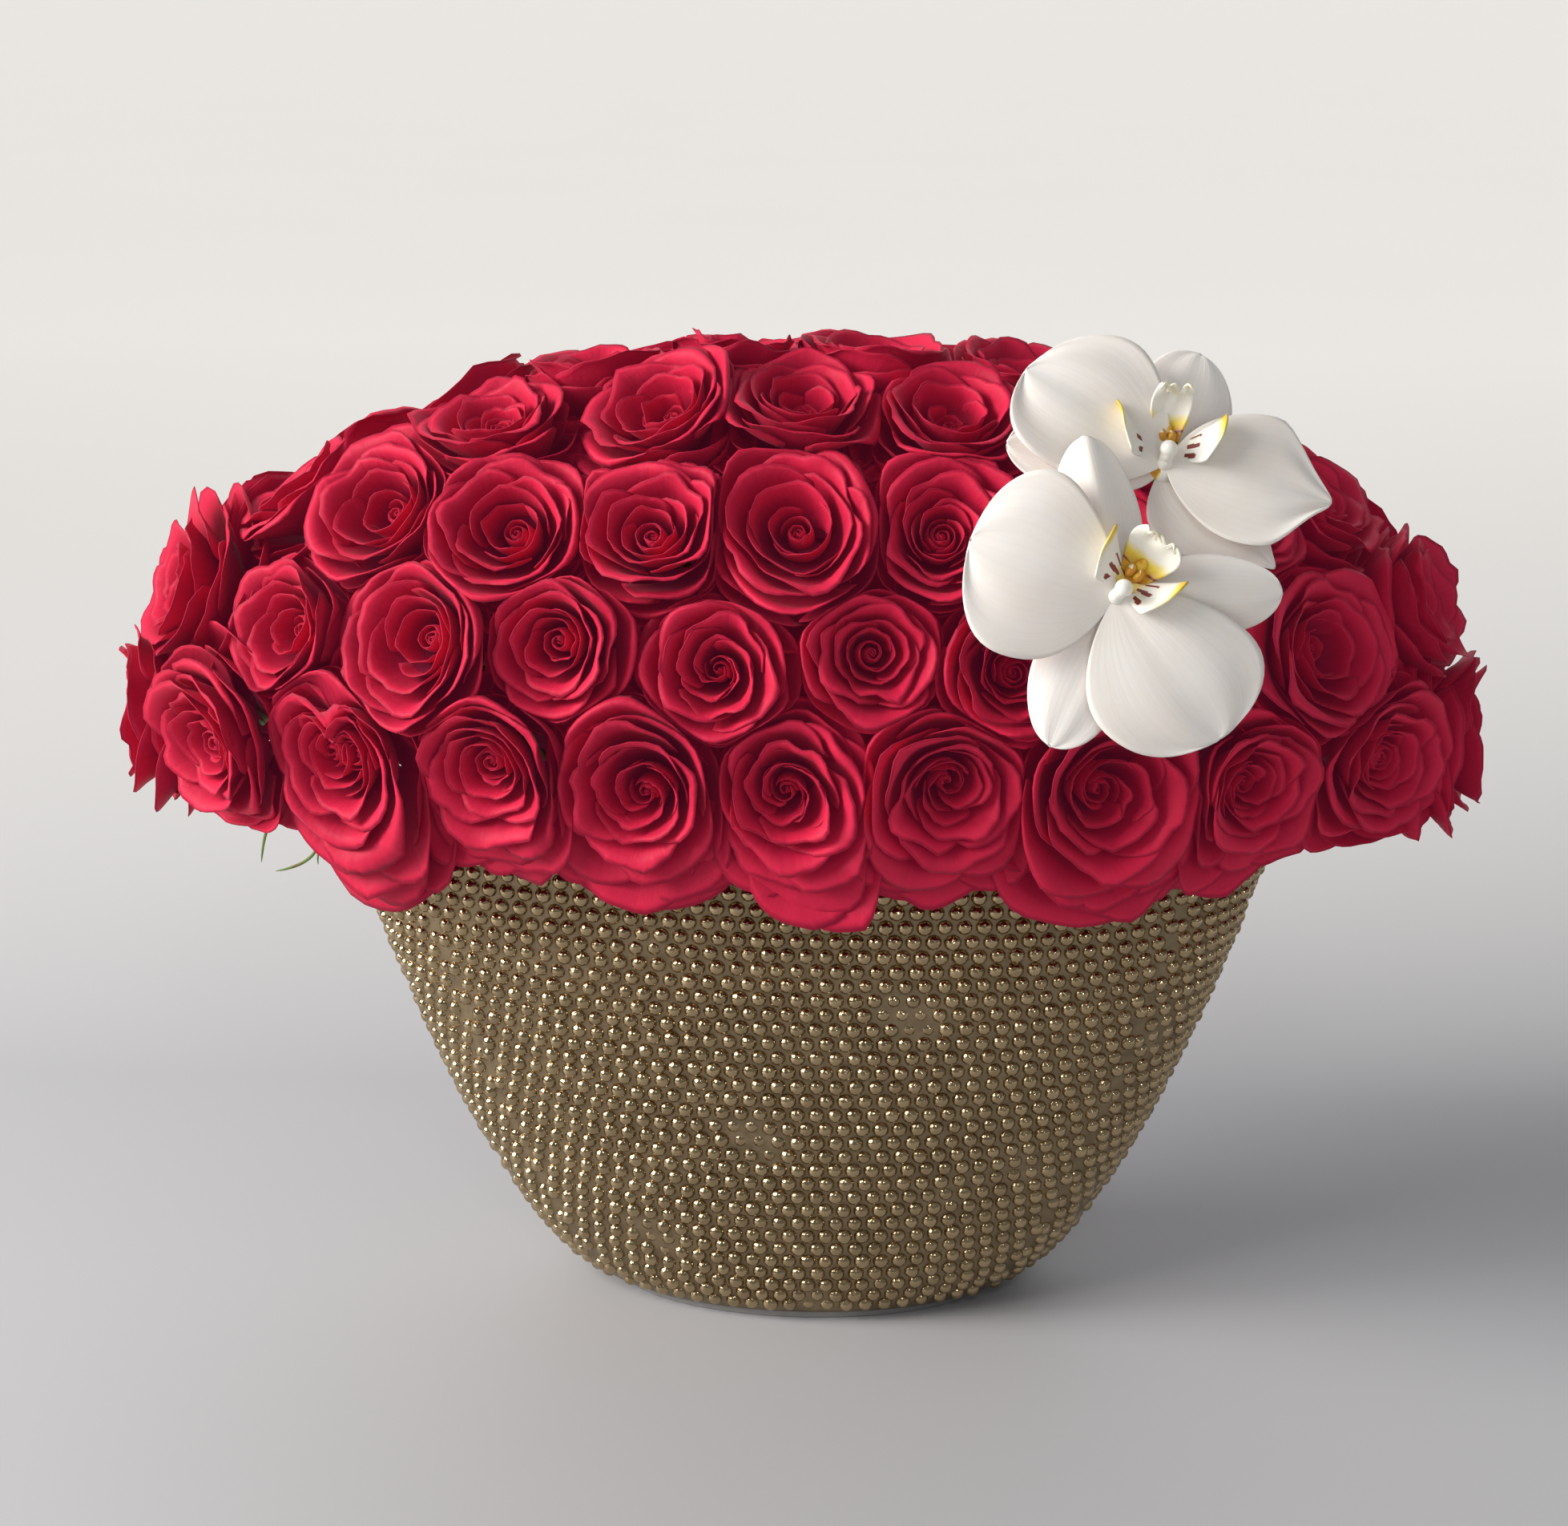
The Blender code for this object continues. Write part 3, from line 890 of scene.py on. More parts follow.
    def name_nodes(self, roses: list[Rose]) -> None:
        """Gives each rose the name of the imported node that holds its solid.

        Args:
            roses: the roses, in the order in which the nodes are numbered.
        """
        back = [rose for rose in roses if self.is_behind(rose.place)]
        for number, rose in enumerate((rose for rose in roses if rose not in back), 1):
            rose.node = f"rose_{number:02d}"
        number = 0
        for row in range(len(self.rings)):
            line = sorted((rose for rose in back if rose.row == row), key=lambda rose: rose.place.x)
            pieces = max(round(len(line) / self.group_size), 1)
            cuts = [round(i * len(line) / pieces) for i in range(pieces + 1)]
            for start, stop in zip(cuts, cuts[1:]):
                number += 1
                for rose in line[start:stop]:
                    rose.node = f"back_roses_{number:02d}"

    def stem_aim(self, place: Vector) -> Vector:
        """The point inside the foam that the stem of a flower at a place is pushed towards."""
        across, deep, rise = self.aim_share
        return Vector((across * place.x, deep * place.y, self.aim_height + rise * (place.z - self.base)))


# --- Rose heads ------------------------------------------------------------------------------------------


class Bloom(Enum):
    """How a rose has opened."""

    SPIRAL = "spiral"
    OPEN = "open"
    RUFFLED = "ruffled"
    PINWHEEL = "pinwheel"
    TWIN = "twin"


@dataclass(frozen=True)
class Whorl:
    """A run of petals from inner to outer, in mm and degrees.

    Pairs hold the first petal's value and the last one's. The shoulder, to which the radius and the height
    belong, is the ring of the petal from where its rim curls, over the curl share of its length.
    """

    count: int
    radius: Pair
    height: Pair
    half_width: Pair
    length: Pair
    lean: Pair
    curl: Pair
    curl_share: Pair
    rounding: Pair
    point: float = 0.0
    wave: float = 0.3
    spare: float = 0.0
    swirl: float = 0.26

    def petals(self) -> list[dict[str, float]]:
        """Works out the values of each petal, in mm and radians.

        Returns:
            One dictionary for each petal, by field name.
        """
        rows = []
        for share in np.arange(self.count) / max(self.count - 1, 1):
            row = {}
            for key, value in list(vars(self).items())[1:]:
                if isinstance(value, tuple):
                    value = value[0] + (value[1] - value[0]) * share
                row[key] = math.radians(value) if key in ("half_width", "lean", "curl") else value
            rows.append(row)
        return rows


BUD = Whorl(
    5, (1.5, 5.6), (-10.0, -7.8), (215, 120), (15, 18), (-3, -6), (-30, -10), (0.30, 0.22), (0.06, 0.14),
    wave=0.2, swirl=0.45,
)
INNER = Whorl(
    5, (7.2, 13.0), (-6.8, -2.6), (112, 86), (21, 25), (2, 12), (10, 40), (0.20, 0.17), (0.16, 0.22),
    point=0.01, wave=0.7, swirl=0.70,
)
CUP = Whorl(
    6, (15.0, 22.6), (-1.4, -0.4), (84, 68), (28, 34), (15, 26), (52, 102), (0.16, 0.20), (0.20, 0.27),
    point=0.035, wave=1.4, swirl=0.50,
)
OUTER = Whorl(
    4, (24.2, 28.0), (-2.0, -6.0), (68, 60), (37, 41), (28, 40), (104, 128), (0.20, 0.25), (0.28, 0.32),
    point=0.06, wave=1.9,
)
GUARD = Whorl(
    5, (29.5, 34.0), (-10.0, -17.0), (58, 50), (39, 43), (48, 64), (78, 100), (0.26, 0.32), (0.28, 0.34),
    point=0.06, wave=1.6, spare=1.0,
)
UNDER = Whorl(
    6, (38.5, 43.5), (-19.0, -25.0), (60, 56), (37, 41), (60, 70), (90, 105), (0.24, 0.28), (0.26, 0.30),
    wave=1.0, spare=10.0,
)

SKIRT_TURNS = (-0.62, 0.0, 0.62)
SKIRT: dict[str, Pair] = {
    "radius": (29.5, 32.0), "height": (-16.0, -12.0), "half_width": (0.62, 0.80), "length": (42.0, 46.0),
    "lean": (0.92, 1.05), "curl": (1.20, 1.50), "curl_share": (0.34, 0.38), "rounding": (0.30, 0.42),
    "point": (0.01, 0.05), "wave": (0.7, 1.3), "turn": (-math.pi / 2, -math.pi / 2),
    "phase_a": (0.0, 6.0), "phase_b": (0.0, 6.0), "phase_c": (0.0, 6.0), "tone": (0.3, 0.8),
    "spare": (6.0, 8.0), "slant": (-0.05, 0.05), "swirl": (0.2, 0.3),
}


@dataclass
class RoseHead:
    """One rose's petals, shaped from flat sheets and packed against the neighbouring roses.

    Lengths are in mm, in the rose's own axes: across, up the dome, and out of its face.
    """

    rose: Rose
    bloom: Bloom
    seed: int
    front: bool
    golden: float = math.radians(137.5)
    profile_steps: int = 40
    face_radius: float = 27.0
    neck_depth: float = 0.051
    clearance: float = 0.30
    least_room: float = 4.0
    squeeze: float = 9.0
    end_reach: float = 0.222
    end_curl: float = 0.62
    proud_share: float = 0.22
    swell: float = 0.085
    most_lean: float = 3.4
    open_lean: Pair = (0.6, 3.0)
    dent_turn: float = 1.70
    dent_width: float = 0.34
    dent_depth: float = 0.62
    twin_apart: float = 6.0

    def whorls(self) -> list[Whorl]:
        """Picks the petal runs of this kind of bloom.

        Returns:
            The runs, inner to outer.
        """
        low = [OUTER, GUARD, UNDER]
        if self.bloom is Bloom.OPEN:
            bud = replace(BUD, count=4, radius=(1.8, 5.2), height=(-14.5, -12.5))
            inner = replace(INNER, count=4, radius=(8.6, 15.5), height=(-8.0, -1.6))
            return [bud, inner, replace(CUP, count=5, radius=(17.5, 23.0)), *low]
        if self.bloom is Bloom.RUFFLED:
            return [BUD, replace(INNER, wave=1.1), replace(CUP, wave=2.0), replace(OUTER, wave=2.4), *low[1:]]
        if self.bloom is Bloom.PINWHEEL:
            bud = replace(BUD, count=4, half_width=(170, 105), height=(-11.5, -9.0), swirl=0.9)
            inner = replace(INNER, count=6, half_width=(92, 74), curl=(16, 48), swirl=1.9)
            return [bud, inner, replace(CUP, count=6, swirl=1.0), *low]
        return [BUD, INNER, CUP, *low]

    def petal_table(self, rng: np.random.Generator) -> dict[str, Array]:
        """Works out the values of each petal, inner to outer, in mm and radians.

        Args:
            rng: the rose's source of chance.

        Returns:
            The petals' values by name.
        """
        rows = [row for whorl in self.whorls() for row in whorl.petals()]
        count = len(rows)
        table = {key: np.array([row[key] for row in rows]) for key in rows[0]}
        order = np.arange(count) / (count - 1)
        wander = rng.normal(0.0, 0.16, count) * smooth(order, 0.1, 0.5)
        table["turn"] = self.golden * np.arange(count) + wander
        table["radius"] *= self.rose.size * (1.0 + rng.normal(0.0, 0.014, count))
        table["height"] += rng.normal(0.0, 0.75, count) * (0.4 + order)
        for key, spread in (("length", 0.03), ("half_width", 0.08), ("curl", 0.16)):
            table[key] *= 1.0 + rng.normal(0.0, spread, count)
        table["lean"] += rng.normal(0.0, 0.03, count) * order
        if abs(self.rose.place.x) > self.end_reach:
            table["curl"] *= self.end_curl
        table["point"] *= rng.uniform(0.2, 1.5, count)
        table["wave"] *= rng.uniform(0.6, 1.4, count)
        proud = (table["radius"] > self.face_radius) & (table["height"] > -18.0)
        proud &= rng.uniform(0.0, 1.0, count) < self.proud_share
        for key, more in (("height", 5.0), ("spare", 1.6), ("curl", 0.7)):
            table[key] += more * proud
        table["slant"] = rng.normal(0.0, 0.045, count) * smooth(order, 0.15, 0.6)
        for key in ("phase_a", "phase_b", "phase_c"):
            table[key] = rng.uniform(0.0, math.tau, count)
        table["tone"] = rng.uniform(0.0, 1.0, count)
        if self.rose.row == 0:
            self.add_skirt(table, rng)
        return table

    def add_skirt(self, table: dict[str, Array], rng: np.random.Generator) -> None:
        """Adds the wide guard petals that hang from a rose of the lowest ring over the vase's rim.

        Args:
            table: the petals' values, which grow by these petals'.
            rng: the rose's source of chance.
        """
        place = self.rose.place
        for key, (low, high) in SKIRT.items():
            values = rng.uniform(low, high, len(SKIRT_TURNS))
            if key == "turn":
                values += SKIRT_TURNS + rng.normal(0.0, 0.10, len(SKIRT_TURNS))
            elif key == "length":
                values += 7.0 * math.exp(-((place.x / 0.075) ** 2)) * (place.y < 0.0)
            table[key] = np.append(table[key], values)

    def profiles(self, table: dict[str, Array]) -> list[Array]:
        """Works out each petal's side view at even steps from foot to rim.

        Args:
            table: the petals' values.

        Returns:
            The radius and the height, one row for each petal.
        """
        steps = np.linspace(0.0, 1.0, self.profile_steps + 1)[None]
        shoulder = 1.0 - table["curl_share"][:, None]
        foot = 2.4 + 0.07 * table["radius"]
        below = table["length"] * (1.0 - table["curl_share"])
        mean = np.arcsin(np.clip((table["radius"] - foot) / below, -0.25, 0.96))[:, None]
        lean = table["lean"][:, None]
        under = np.clip((shoulder - steps) / shoulder, 0.0, 1.0)
        over = np.clip((steps - shoulder) / (1.0 - shoulder), 0.0, 1.0)
        angle = lean + 2.0 * (mean - lean) * under + (table["curl"][:, None] - lean) * over**1.3
        middle, step = (angle[:, 1:] + angle[:, :-1]) / 2, table["length"][:, None] / self.profile_steps
        petals, lines = np.arange(len(angle)), []
        for key, part in (("radius", np.sin), ("height", np.cos)):
            line = np.pad(np.cumsum(part(middle) * step, axis=1), ((0, 0), (1, 0)))
            at_shoulder = between(line, petals, shoulder[:, 0] * self.profile_steps)
            lines.append(line + (table[key] - at_shoulder)[:, None])
        return lines

    def outline(self, u: Array, here: dict[str, Array]) -> Array:
        """Works out how far up a petal's rim lies, with its notches and point.

        Args:
            u: the place across, from -1 to 1.
            here: the petal's values at each point.

        Returns:
            The rim's place as a share of the petal's length.
        """
        fine = self.fineness()
        notch = 0.020 * fine**0.5 * np.sin(7.0 * u + here["phase_a"])
        notch += 0.013 * fine * np.sin(15.0 * u + here["phase_b"])
        notch += 0.006 * fine * np.sin(29.0 * u + here["phase_c"])
        notch *= 1.0 - 0.6 * smooth(here["radius"], 26.0, 30.0)
        point = fine * here["point"] * np.exp(-((u / 0.17) ** 2))
        return 1.0 - here["rounding"] * np.abs(u) ** 2.8 + point + notch + here["slant"] * u

    def fineness(self) -> float:
        """How much of the fine shape the head's sheets can hold."""
        return 1.0 if self.front else 0.2

    def shaped(self, flat: Array, petal: Array, table: dict[str, Array], rng: np.random.Generator) -> Array:
        """Shapes the sheets into petals.

        Args:
            flat: the sheets' points, X across and Y from foot to rim, both from -1 to 1.
            petal: each point's petal.
            table: the petals' values.
            rng: the rose's source of chance.

        Returns:
            The points.
        """
        u = flat[:, 0]
        here = {key: values[petal] for key, values in table.items()}
        run = ((flat[:, 1] + 1.0) / 2) ** 0.8 * self.outline(u, here)
        at = np.clip(run, 0.0, 1.0) * self.profile_steps
        over = np.clip(run - 1.0, 0.0, None) * here["length"]
        radii, heights = (between(line, petal, at) for line in self.profiles(table))
        radius, height = radii + over * np.sin(here["curl"]), heights + over * np.cos(here["curl"])
        angle = u * here["half_width"] * (0.42 + 0.58 * smooth(run, 0.0, 0.62))
        spin = 1.0 if self.seed % 2 else -1.0
        radius += here["swirl"] * spin * angle * np.clip(radius / 4.0, 0.15, 1.0)
        ripple = np.sin(3.1 * angle * 2.0 + here["phase_a"]) + 0.6 * np.sin(7.3 * angle + here["phase_c"])
        radius += here["wave"] * 0.42 * ripple * run**3
        ripple = 0.7 * np.sin(3.6 * angle + here["phase_b"]) + 0.3 * np.sin(11.0 * u)
        height += here["wave"] * ripple * run**3
        theta = here["turn"] + angle
        size = np.clip(radius / self.face_radius, 0.0, 1.3)
        chance = np.clip(rng.normal(0.0, 1.0, 6), -1.8, 1.8)
        oval = self.swell * chance[0] * np.sin(2 * theta + chance[1] * 3)
        radius *= 1.0 + (oval + 0.02 * chance[2] * np.sin(3 * theta + chance[3] * 3)) * size
        if self.bloom is Bloom.TWIN:
            off = np.angle(np.exp(1j * (theta - self.dent_turn)))
            dent = np.exp(-((off / self.dent_width) ** 2)) * smooth(radius, 3.0, 12.0)
            radius *= 1.0 - self.dent_depth * dent * (1.0 - smooth(radius, self.face_radius, 36.0))
        crease = np.sin(23.0 * theta + 4.0 * here["phase_a"]) * np.sin(run * 11.0 + here["phase_b"])
        radius += 0.16 * self.fineness() * crease * run**2 * np.clip(radius / 14.0, 0.2, 1.0)
        x, y = radius * np.cos(theta), radius * np.sin(theta)
        lean = self.open_lean
        if self.bloom is not Bloom.OPEN:
            lean = np.clip(rng.normal(0.0, 2.0, 2), -self.most_lean, self.most_lean)
        inward = 1.0 - smooth(radius, 3.0, 26.0)
        x, y = x + lean[0] * inward, y + lean[1] * inward
        if self.bloom is Bloom.TWIN:
            side = np.where(petal % 2 == 0, 1.0, -1.0) * self.twin_apart
            x, y = x + side * (1.0 - smooth(here["radius"], 6.0, 10.0)), y - 1.5 * inward
        return np.stack([x, y, height], axis=1)

    def packed(self, points: Array, spare: Array) -> Array:
        """Squeezes the head so that it stays on its own side of the planes between it and its neighbours.

        Args:
            points: the points.
            spare: how far each point may pass the planes.

        Returns:
            The squeezed points.
        """
        axes = self.rose.axes()
        reach = np.hypot(points[:, 0], points[:, 1]) + 1e-9
        ways = points[:, :2] / reach[:, None]
        total = np.zeros(len(points))
        for mate in self.rose.neighbours:
            apart = axes @ np.array(mate.place - self.rose.place) / MM
            distance = np.linalg.norm(apart)
            apart /= distance
            middle = distance * (0.5 + 0.5 * (self.rose.size - mate.size))
            room = np.maximum(middle - self.clearance + spare - points[:, 2] * apart[2], self.least_room)
            total += np.clip(reach * (ways @ apart[:2]) / room, 0.0, None) ** self.squeeze
        points = points.copy()
        points[:, :2] *= ((1.0 + total) ** (-1.0 / self.squeeze))[:, None]
        return points

    def placed(self, points: Array) -> Array:
        """Puts points in the object's frame, along the bend from the face's way to the neck's.

        Args:
            points: the points in the rose's own axes.

        Returns:
            The points, in metres.
        """
        depth = np.clip(-points[:, 2] * MM, 0.0, None)
        bend = np.clip(depth / self.neck_depth, 0.0, 1.0)[:, None]
        axis = unit_rows(np.array(self.rose.face) * (1.0 - bend) + np.array(self.rose.neck) * bend)
        rise = np.clip(points[:, 2:] * MM, 0.0, None) - depth[:, None]
        return np.array(self.rose.place) + points[:, :2] * MM @ self.rose.axes()[:2] + axis * rise

    def build(self, template: bpy.types.Mesh) -> tuple[bpy.types.Mesh, Array]:
        """Builds the petals.

        Args:
            template: the flat sheet that each petal starts as.

        Returns:
            The mesh, and each point's tone.
        """
        rng = np.random.default_rng(1000 + self.seed)
        table = self.petal_table(rng)
        mesh, flat, petal = repeated("rose_head", template, len(table["radius"]))
        shaped = self.shaped(flat, petal, table, rng)
        move_points(mesh, self.placed(self.packed(shaped, table["spare"][petal])))
        return mesh, table["tone"][petal]


SETTLED: dict[Bloom, tuple[Place, ...]] = {
    Bloom.TWIN: ((-0.164, -0.083, 0.239),),
    Bloom.RUFFLED: ((0.081, -0.098, 0.285), (0.215, -0.057, 0.239)),
    Bloom.OPEN: (
        (0.000, -0.084, 0.329), (-0.104, -0.073, 0.326), (-0.154, -0.054, 0.326), (-0.136, -0.085, 0.285),
        (-0.187, -0.064, 0.285), (0.000, -0.044, 0.367), (0.054, -0.042, 0.365), (-0.054, -0.042, 0.365),
    ),
    Bloom.PINWHEEL: (
        (0.000, -0.110, 0.239), (-0.055, -0.107, 0.239), (0.055, -0.107, 0.239), (0.110, -0.099, 0.239),
        (0.164, -0.083, 0.239), (-0.027, -0.103, 0.286),
    ),
    Bloom.SPIRAL: (
        (-0.052, -0.082, 0.328), (0.052, -0.082, 0.328), (-0.081, -0.098, 0.285), (0.027, -0.103, 0.286),
        (-0.110, -0.099, 0.239), (-0.215, -0.057, 0.239), (-0.231, -0.017, 0.290), (-0.116, -0.031, 0.357),
    ),
}
UNSETTLED = (Bloom.SPIRAL, Bloom.OPEN, Bloom.PINWHEEL, Bloom.SPIRAL, Bloom.OPEN, Bloom.RUFFLED)


@dataclass(frozen=True)
class Roses:
    """The petals of all the roses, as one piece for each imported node."""

    front_grid: tuple[int, int] = (16, 11)
    back_grid: tuple[int, int] = (11, 8)
    petal_thickness: float = 0.00036
    settled_reach: float = 0.022

    def bloom_for(self, rose: Rose, number: int) -> Bloom:
        """Says how a rose has opened: settled for the ones in front, and varied for the others.

        Args:
            rose: the rose.
            number: its number on the dome.

        Returns:
            The kind of bloom.
        """
        if rose.node.startswith("rose"):
            for bloom, spots in SETTLED.items():
                if any((rose.place - Vector(spot)).length < self.settled_reach for spot in spots):
                    return bloom
        return UNSETTLED[number * 5 % len(UNSETTLED)]

    def build(self, roses: Sequence[Rose], velvet: bpy.types.Material) -> list[bpy.types.Object]:
        """Builds all petals.

        Args:
            roses: the roses on the dome.
            velvet: the petals' finish.

        Returns:
            The pieces.
        """
        front, back = sheet_template(*self.front_grid), sheet_template(*self.back_grid)
        by_node: dict[str, list[tuple[int, Rose]]] = {}
        for number, rose in enumerate(roses):
            by_node.setdefault(rose.node, []).append((number, rose))
        pieces = []
        for node, members in by_node.items():
            is_front = not node.startswith("back")
            bm, tones = bmesh.new(), []
            for number, rose in members:
                head = RoseHead(rose, self.bloom_for(rose, number), number, is_front)
                mesh, tone = head.build(front if is_front else back)
                bm.from_mesh(mesh)
                tones.append(tone)
                bpy.data.meshes.remove(mesh)
            mesh = mesh_of(node + "_petals", bm)
            add_attribute(mesh, "tone", np.concatenate(tones))
            pieces.append(add_piece(mesh, velvet, (node,), self.petal_thickness))
        return pieces


@dataclass(frozen=True)
class Strand:
    """A thin sepal that hangs free: where it starts, its way, its bend and its length in metres."""

    start: Place
    way: Place
    bend: Place
    length: float
    half_width: float = 0.0008

    def shaped(self, u: Array, v: Array) -> Array:
        """Shapes a flat sheet into the sepal.

        Args:
            u: the place across, from -1 to 1.
            v: the place along, from 0 to 1.

        Returns:
            The points.
        """
        way, bend, run = np.array(self.way), np.array(self.bend), v[:, None]
        side = np.cross(way + 2.0 * bend * run, (0.0, 1.0, 0.2))
        width = u * self.half_width * (1.0 - v) ** 0.6
        return np.array(self.start) + self.length * (way * run + bend * run**2) + width[:, None] * side


@dataclass(frozen=True)
class RoseGreens:
    """The green parts behind the blooms: a calyx with its sepals and a stem into the foam for each rose."""

    mound_half: Place = (0.163, 0.050, 0.120)
    mound_base: float = 0.195
    calyx_depth: float = 0.051
    calyx_radius: float = 0.0062
    bulbs: tuple[tuple[float, Place], ...] = (
        (-0.001, (0.0048, 0.0048, 0.0068)), (0.0085, (0.0078, 0.0078, 0.0085)),
    )
    stem_radius: float = 0.0029
    in_foam: float = 0.022
    sepals_each: int = 5
    sepal_root: float = 0.010
    sepal_length: float = 0.011
    sepal_half_width: float = 0.0030
    sepal_tip: float = 0.0003
    sepal_thickness: float = 0.0007
    loose_thickness: float = 0.0005
    loose: tuple[Strand, ...] = (
        Strand((-0.1985, -0.0560, 0.2060), (-0.30, -0.10, -0.70), (0.10, 0.0, -0.25), 0.0140),
        Strand((-0.1770, -0.0700, 0.2030), (-0.35, -0.10, -0.75), (-0.55, 0.0, 0.25), 0.0170),
        Strand((-0.1760, -0.0700, 0.2030), (-0.20, -0.10, -0.60), (0.15, 0.0, -0.05), 0.0090),
    )

    def foam_entry(self, start: Vector, aim: Vector) -> Vector:
        """Finds where a line goes into the foam's mound.

        Args:
            start: where the line starts, outside the mound.
            aim: a point on it inside the mound.

        Returns:
            The place.
        """
        centre = (0.0, 0.0, self.mound_base)
        p = Vector([(a - c) / h for a, c, h in zip(start, centre, self.mound_half)])
        q = Vector([(b - a) / h for a, b, h in zip(start, aim, self.mound_half)])
        root = p.dot(q) ** 2 - q.length_squared * (p.length_squared - 1.0)
        return start + (aim - start) * ((-p.dot(q) - math.sqrt(max(root, 0.0))) / q.length_squared)

    def add_stem(self, bm: bmesh.types.BMesh, rose: Rose, aim: Vector) -> None:
        """Adds the calyx and the stem of one rose.

        Args:
            bm: the bmesh to add to.
            rose: the rose.
            aim: the point inside the foam that the stem runs towards.
        """
        top = rose.place - rose.neck * self.calyx_depth
        way = (aim - top).normalized()
        end = self.foam_entry(top, aim) + way * self.in_foam
        bmesh.ops.create_cone(
            bm, cap_ends=True, segments=8, radius1=self.stem_radius, radius2=self.stem_radius * 0.9,
            depth=(top - end).length, matrix=Matrix.Translation((top + end) / 2) @ turned_to(-way),
        )
        for rise, size in self.bulbs:
            turned = Matrix.Translation(top + rose.neck * rise) @ turned_to(rose.neck)
            spot = turned @ Matrix.Diagonal((*size, 1.0))
            bmesh.ops.create_uvsphere(bm, u_segments=10, v_segments=7, radius=1.0, matrix=spot)

    def build_sepals(self, roses: Sequence[Rose]) -> bpy.types.Mesh:
        """Builds narrow sepals under each head, each with its own opening and curl.

        Args:
            roses: the roses.

        Returns:
            The mesh.
        """
        rng = np.random.default_rng(77)
        count = self.sepals_each * len(roses)
        mesh, flat, number = repeated("rose_sepals", sheet_template(2, 7), count)
        turn = (math.tau * np.arange(count) / self.sepals_each + rng.normal(0.0, 0.2, count))[number]
        length = (self.sepal_length * rng.uniform(0.7, 1.25, count))[number]
        opening = rng.uniform(0.5, 1.2, count)[number]
        curl = rng.uniform(0.2, 2.6, count)[number]
        u, v = flat[:, 0], (flat[:, 1] + 1.0) / 2
        mean = opening + curl * v / 2
        radius = self.calyx_radius + length * v * np.sin(mean) + u**2 * 0.0006 * np.cos(opening + curl * v)
        height = length * v * np.cos(mean) - (self.calyx_depth - self.sepal_root)
        side = u * (self.sepal_half_width * (1.0 - v) ** 0.7 + self.sepal_tip)
        owner = number // self.sepals_each
        rows = [(rose.place, rose.neck, rose.axes()[0]) for rose in roses]
        place, axis, across = (np.array([np.array(row[i]) for row in rows])[owner] for i in range(3))
        across = unit_rows(across - axis * (across * axis).sum(axis=1)[:, None])
        way = across * np.cos(turn)[:, None] + np.cross(axis, across) * np.sin(turn)[:, None]
        beside = np.cross(axis, way) * side[:, None]
        move_points(mesh, place + way * radius[:, None] + beside + axis * height[:, None])
        return mesh

    def build(self, roses: Sequence[Rose], dome: Dome, green: bpy.types.Material) -> list[bpy.types.Object]:
        """Builds the green parts of all roses.

        Args:
            roses: the roses.
            dome: the dome that they stand on.
            green: the finish.

        Returns:
            The pieces: stems with calyxes, sepals, and loose sepals.
        """
        bm = bmesh.new()
        for rose in roses:
            self.add_stem(bm, rose, dome.stem_aim(rose.place))
        strands = [strand.shaped for strand in self.loose]
        return [
            add_piece(mesh_of("rose_stems", bm), green),
            add_piece(self.build_sepals(roses), green, thickness=self.sepal_thickness),
            add_piece(
                move_points(*shaped_sheets("loose_sepals", sheet_template(2, 10), strands)), green,
                thickness=self.loose_thickness,
            ),
        ]


# --- Orchids ---------------------------------------------------------------------------------------------


@dataclass(frozen=True)
class Tepal:
    """One petal or sepal of an orchid, in mm and degrees in the flower's own plane.

    The heading is counted anticlockwise from the flower's right. Lift is the slope towards the viewer at the
    foot, and recurve the slope away at the tip. Cup bends both edges forward, and fold creases the middle.
    The seed picks the waves of the edge.
    """

    heading: float
    length: float
    half_width: float
    layer: float
    claw: float = 0.10
    broad: float = 0.45
    lift: float = 0.10
    recurve: float = 0.35
    cup: float = -3.0
    fold: float = 0.0
    wave: float = 0.9
    skew: float = 0.0
    pointed: float = 0.0
    seed: int = 0

    def shaped(self, u: Array, along: Array) -> Array:
        """Shapes a flat sheet into the petal.

        Args:
            u: the place across, from -1 to 1.
            along: the place from foot to tip, from 0 to 1.

        Returns:
            The points, in mm, in the flower's own axes.
        """
        phase = np.random.default_rng(500 + self.seed).uniform(0.0, math.tau, 4)
        turn = along * math.pi
        v, closing = (1.0 - np.cos(turn)) / 2, np.sin(turn) ** 0.6
        half = self.half_width * np.sin(turn) * np.sqrt(v / (v + self.claw)) * (1.0 + self.broad * (v - 0.5))
        half = np.maximum(half, 0.35)
        half *= 1.0 + 0.035 * np.sin(7.0 * v + phase[0]) * np.sign(u) * np.abs(u) * closing
        half *= 1.0 - self.pointed * smooth(v, 0.62, 1.0)
        x, share = u * half + self.skew * v * v, u * half / self.half_width
        y = self.length * v + 0.5 * np.sin(5.0 * u + phase[1]) * v**3 * closing
        z = self.length * (math.tan(self.lift) * (v - v * v / 2) - self.recurve * v**3 / 3)
        z += self.cup * share**2 + self.fold * (np.sqrt(share**2 + 0.004) - 0.06)
        z += self.wave * np.sin(4.2 * v + 1.4 * np.sign(u) + phase[2]) * np.abs(u) ** 2.5 * v * closing
        z += 0.35 * self.wave * np.sin(9.0 * u + phase[3]) * v**2 * closing
        z += self.layer - 0.35 * np.exp(-((x / 1.6) ** 2)) * (1.0 - v)
        cos, sin = math.cos(math.radians(self.heading)), math.sin(math.radians(self.heading))
        return np.stack([y * cos + x * sin, y * sin - x * cos, z], axis=1)


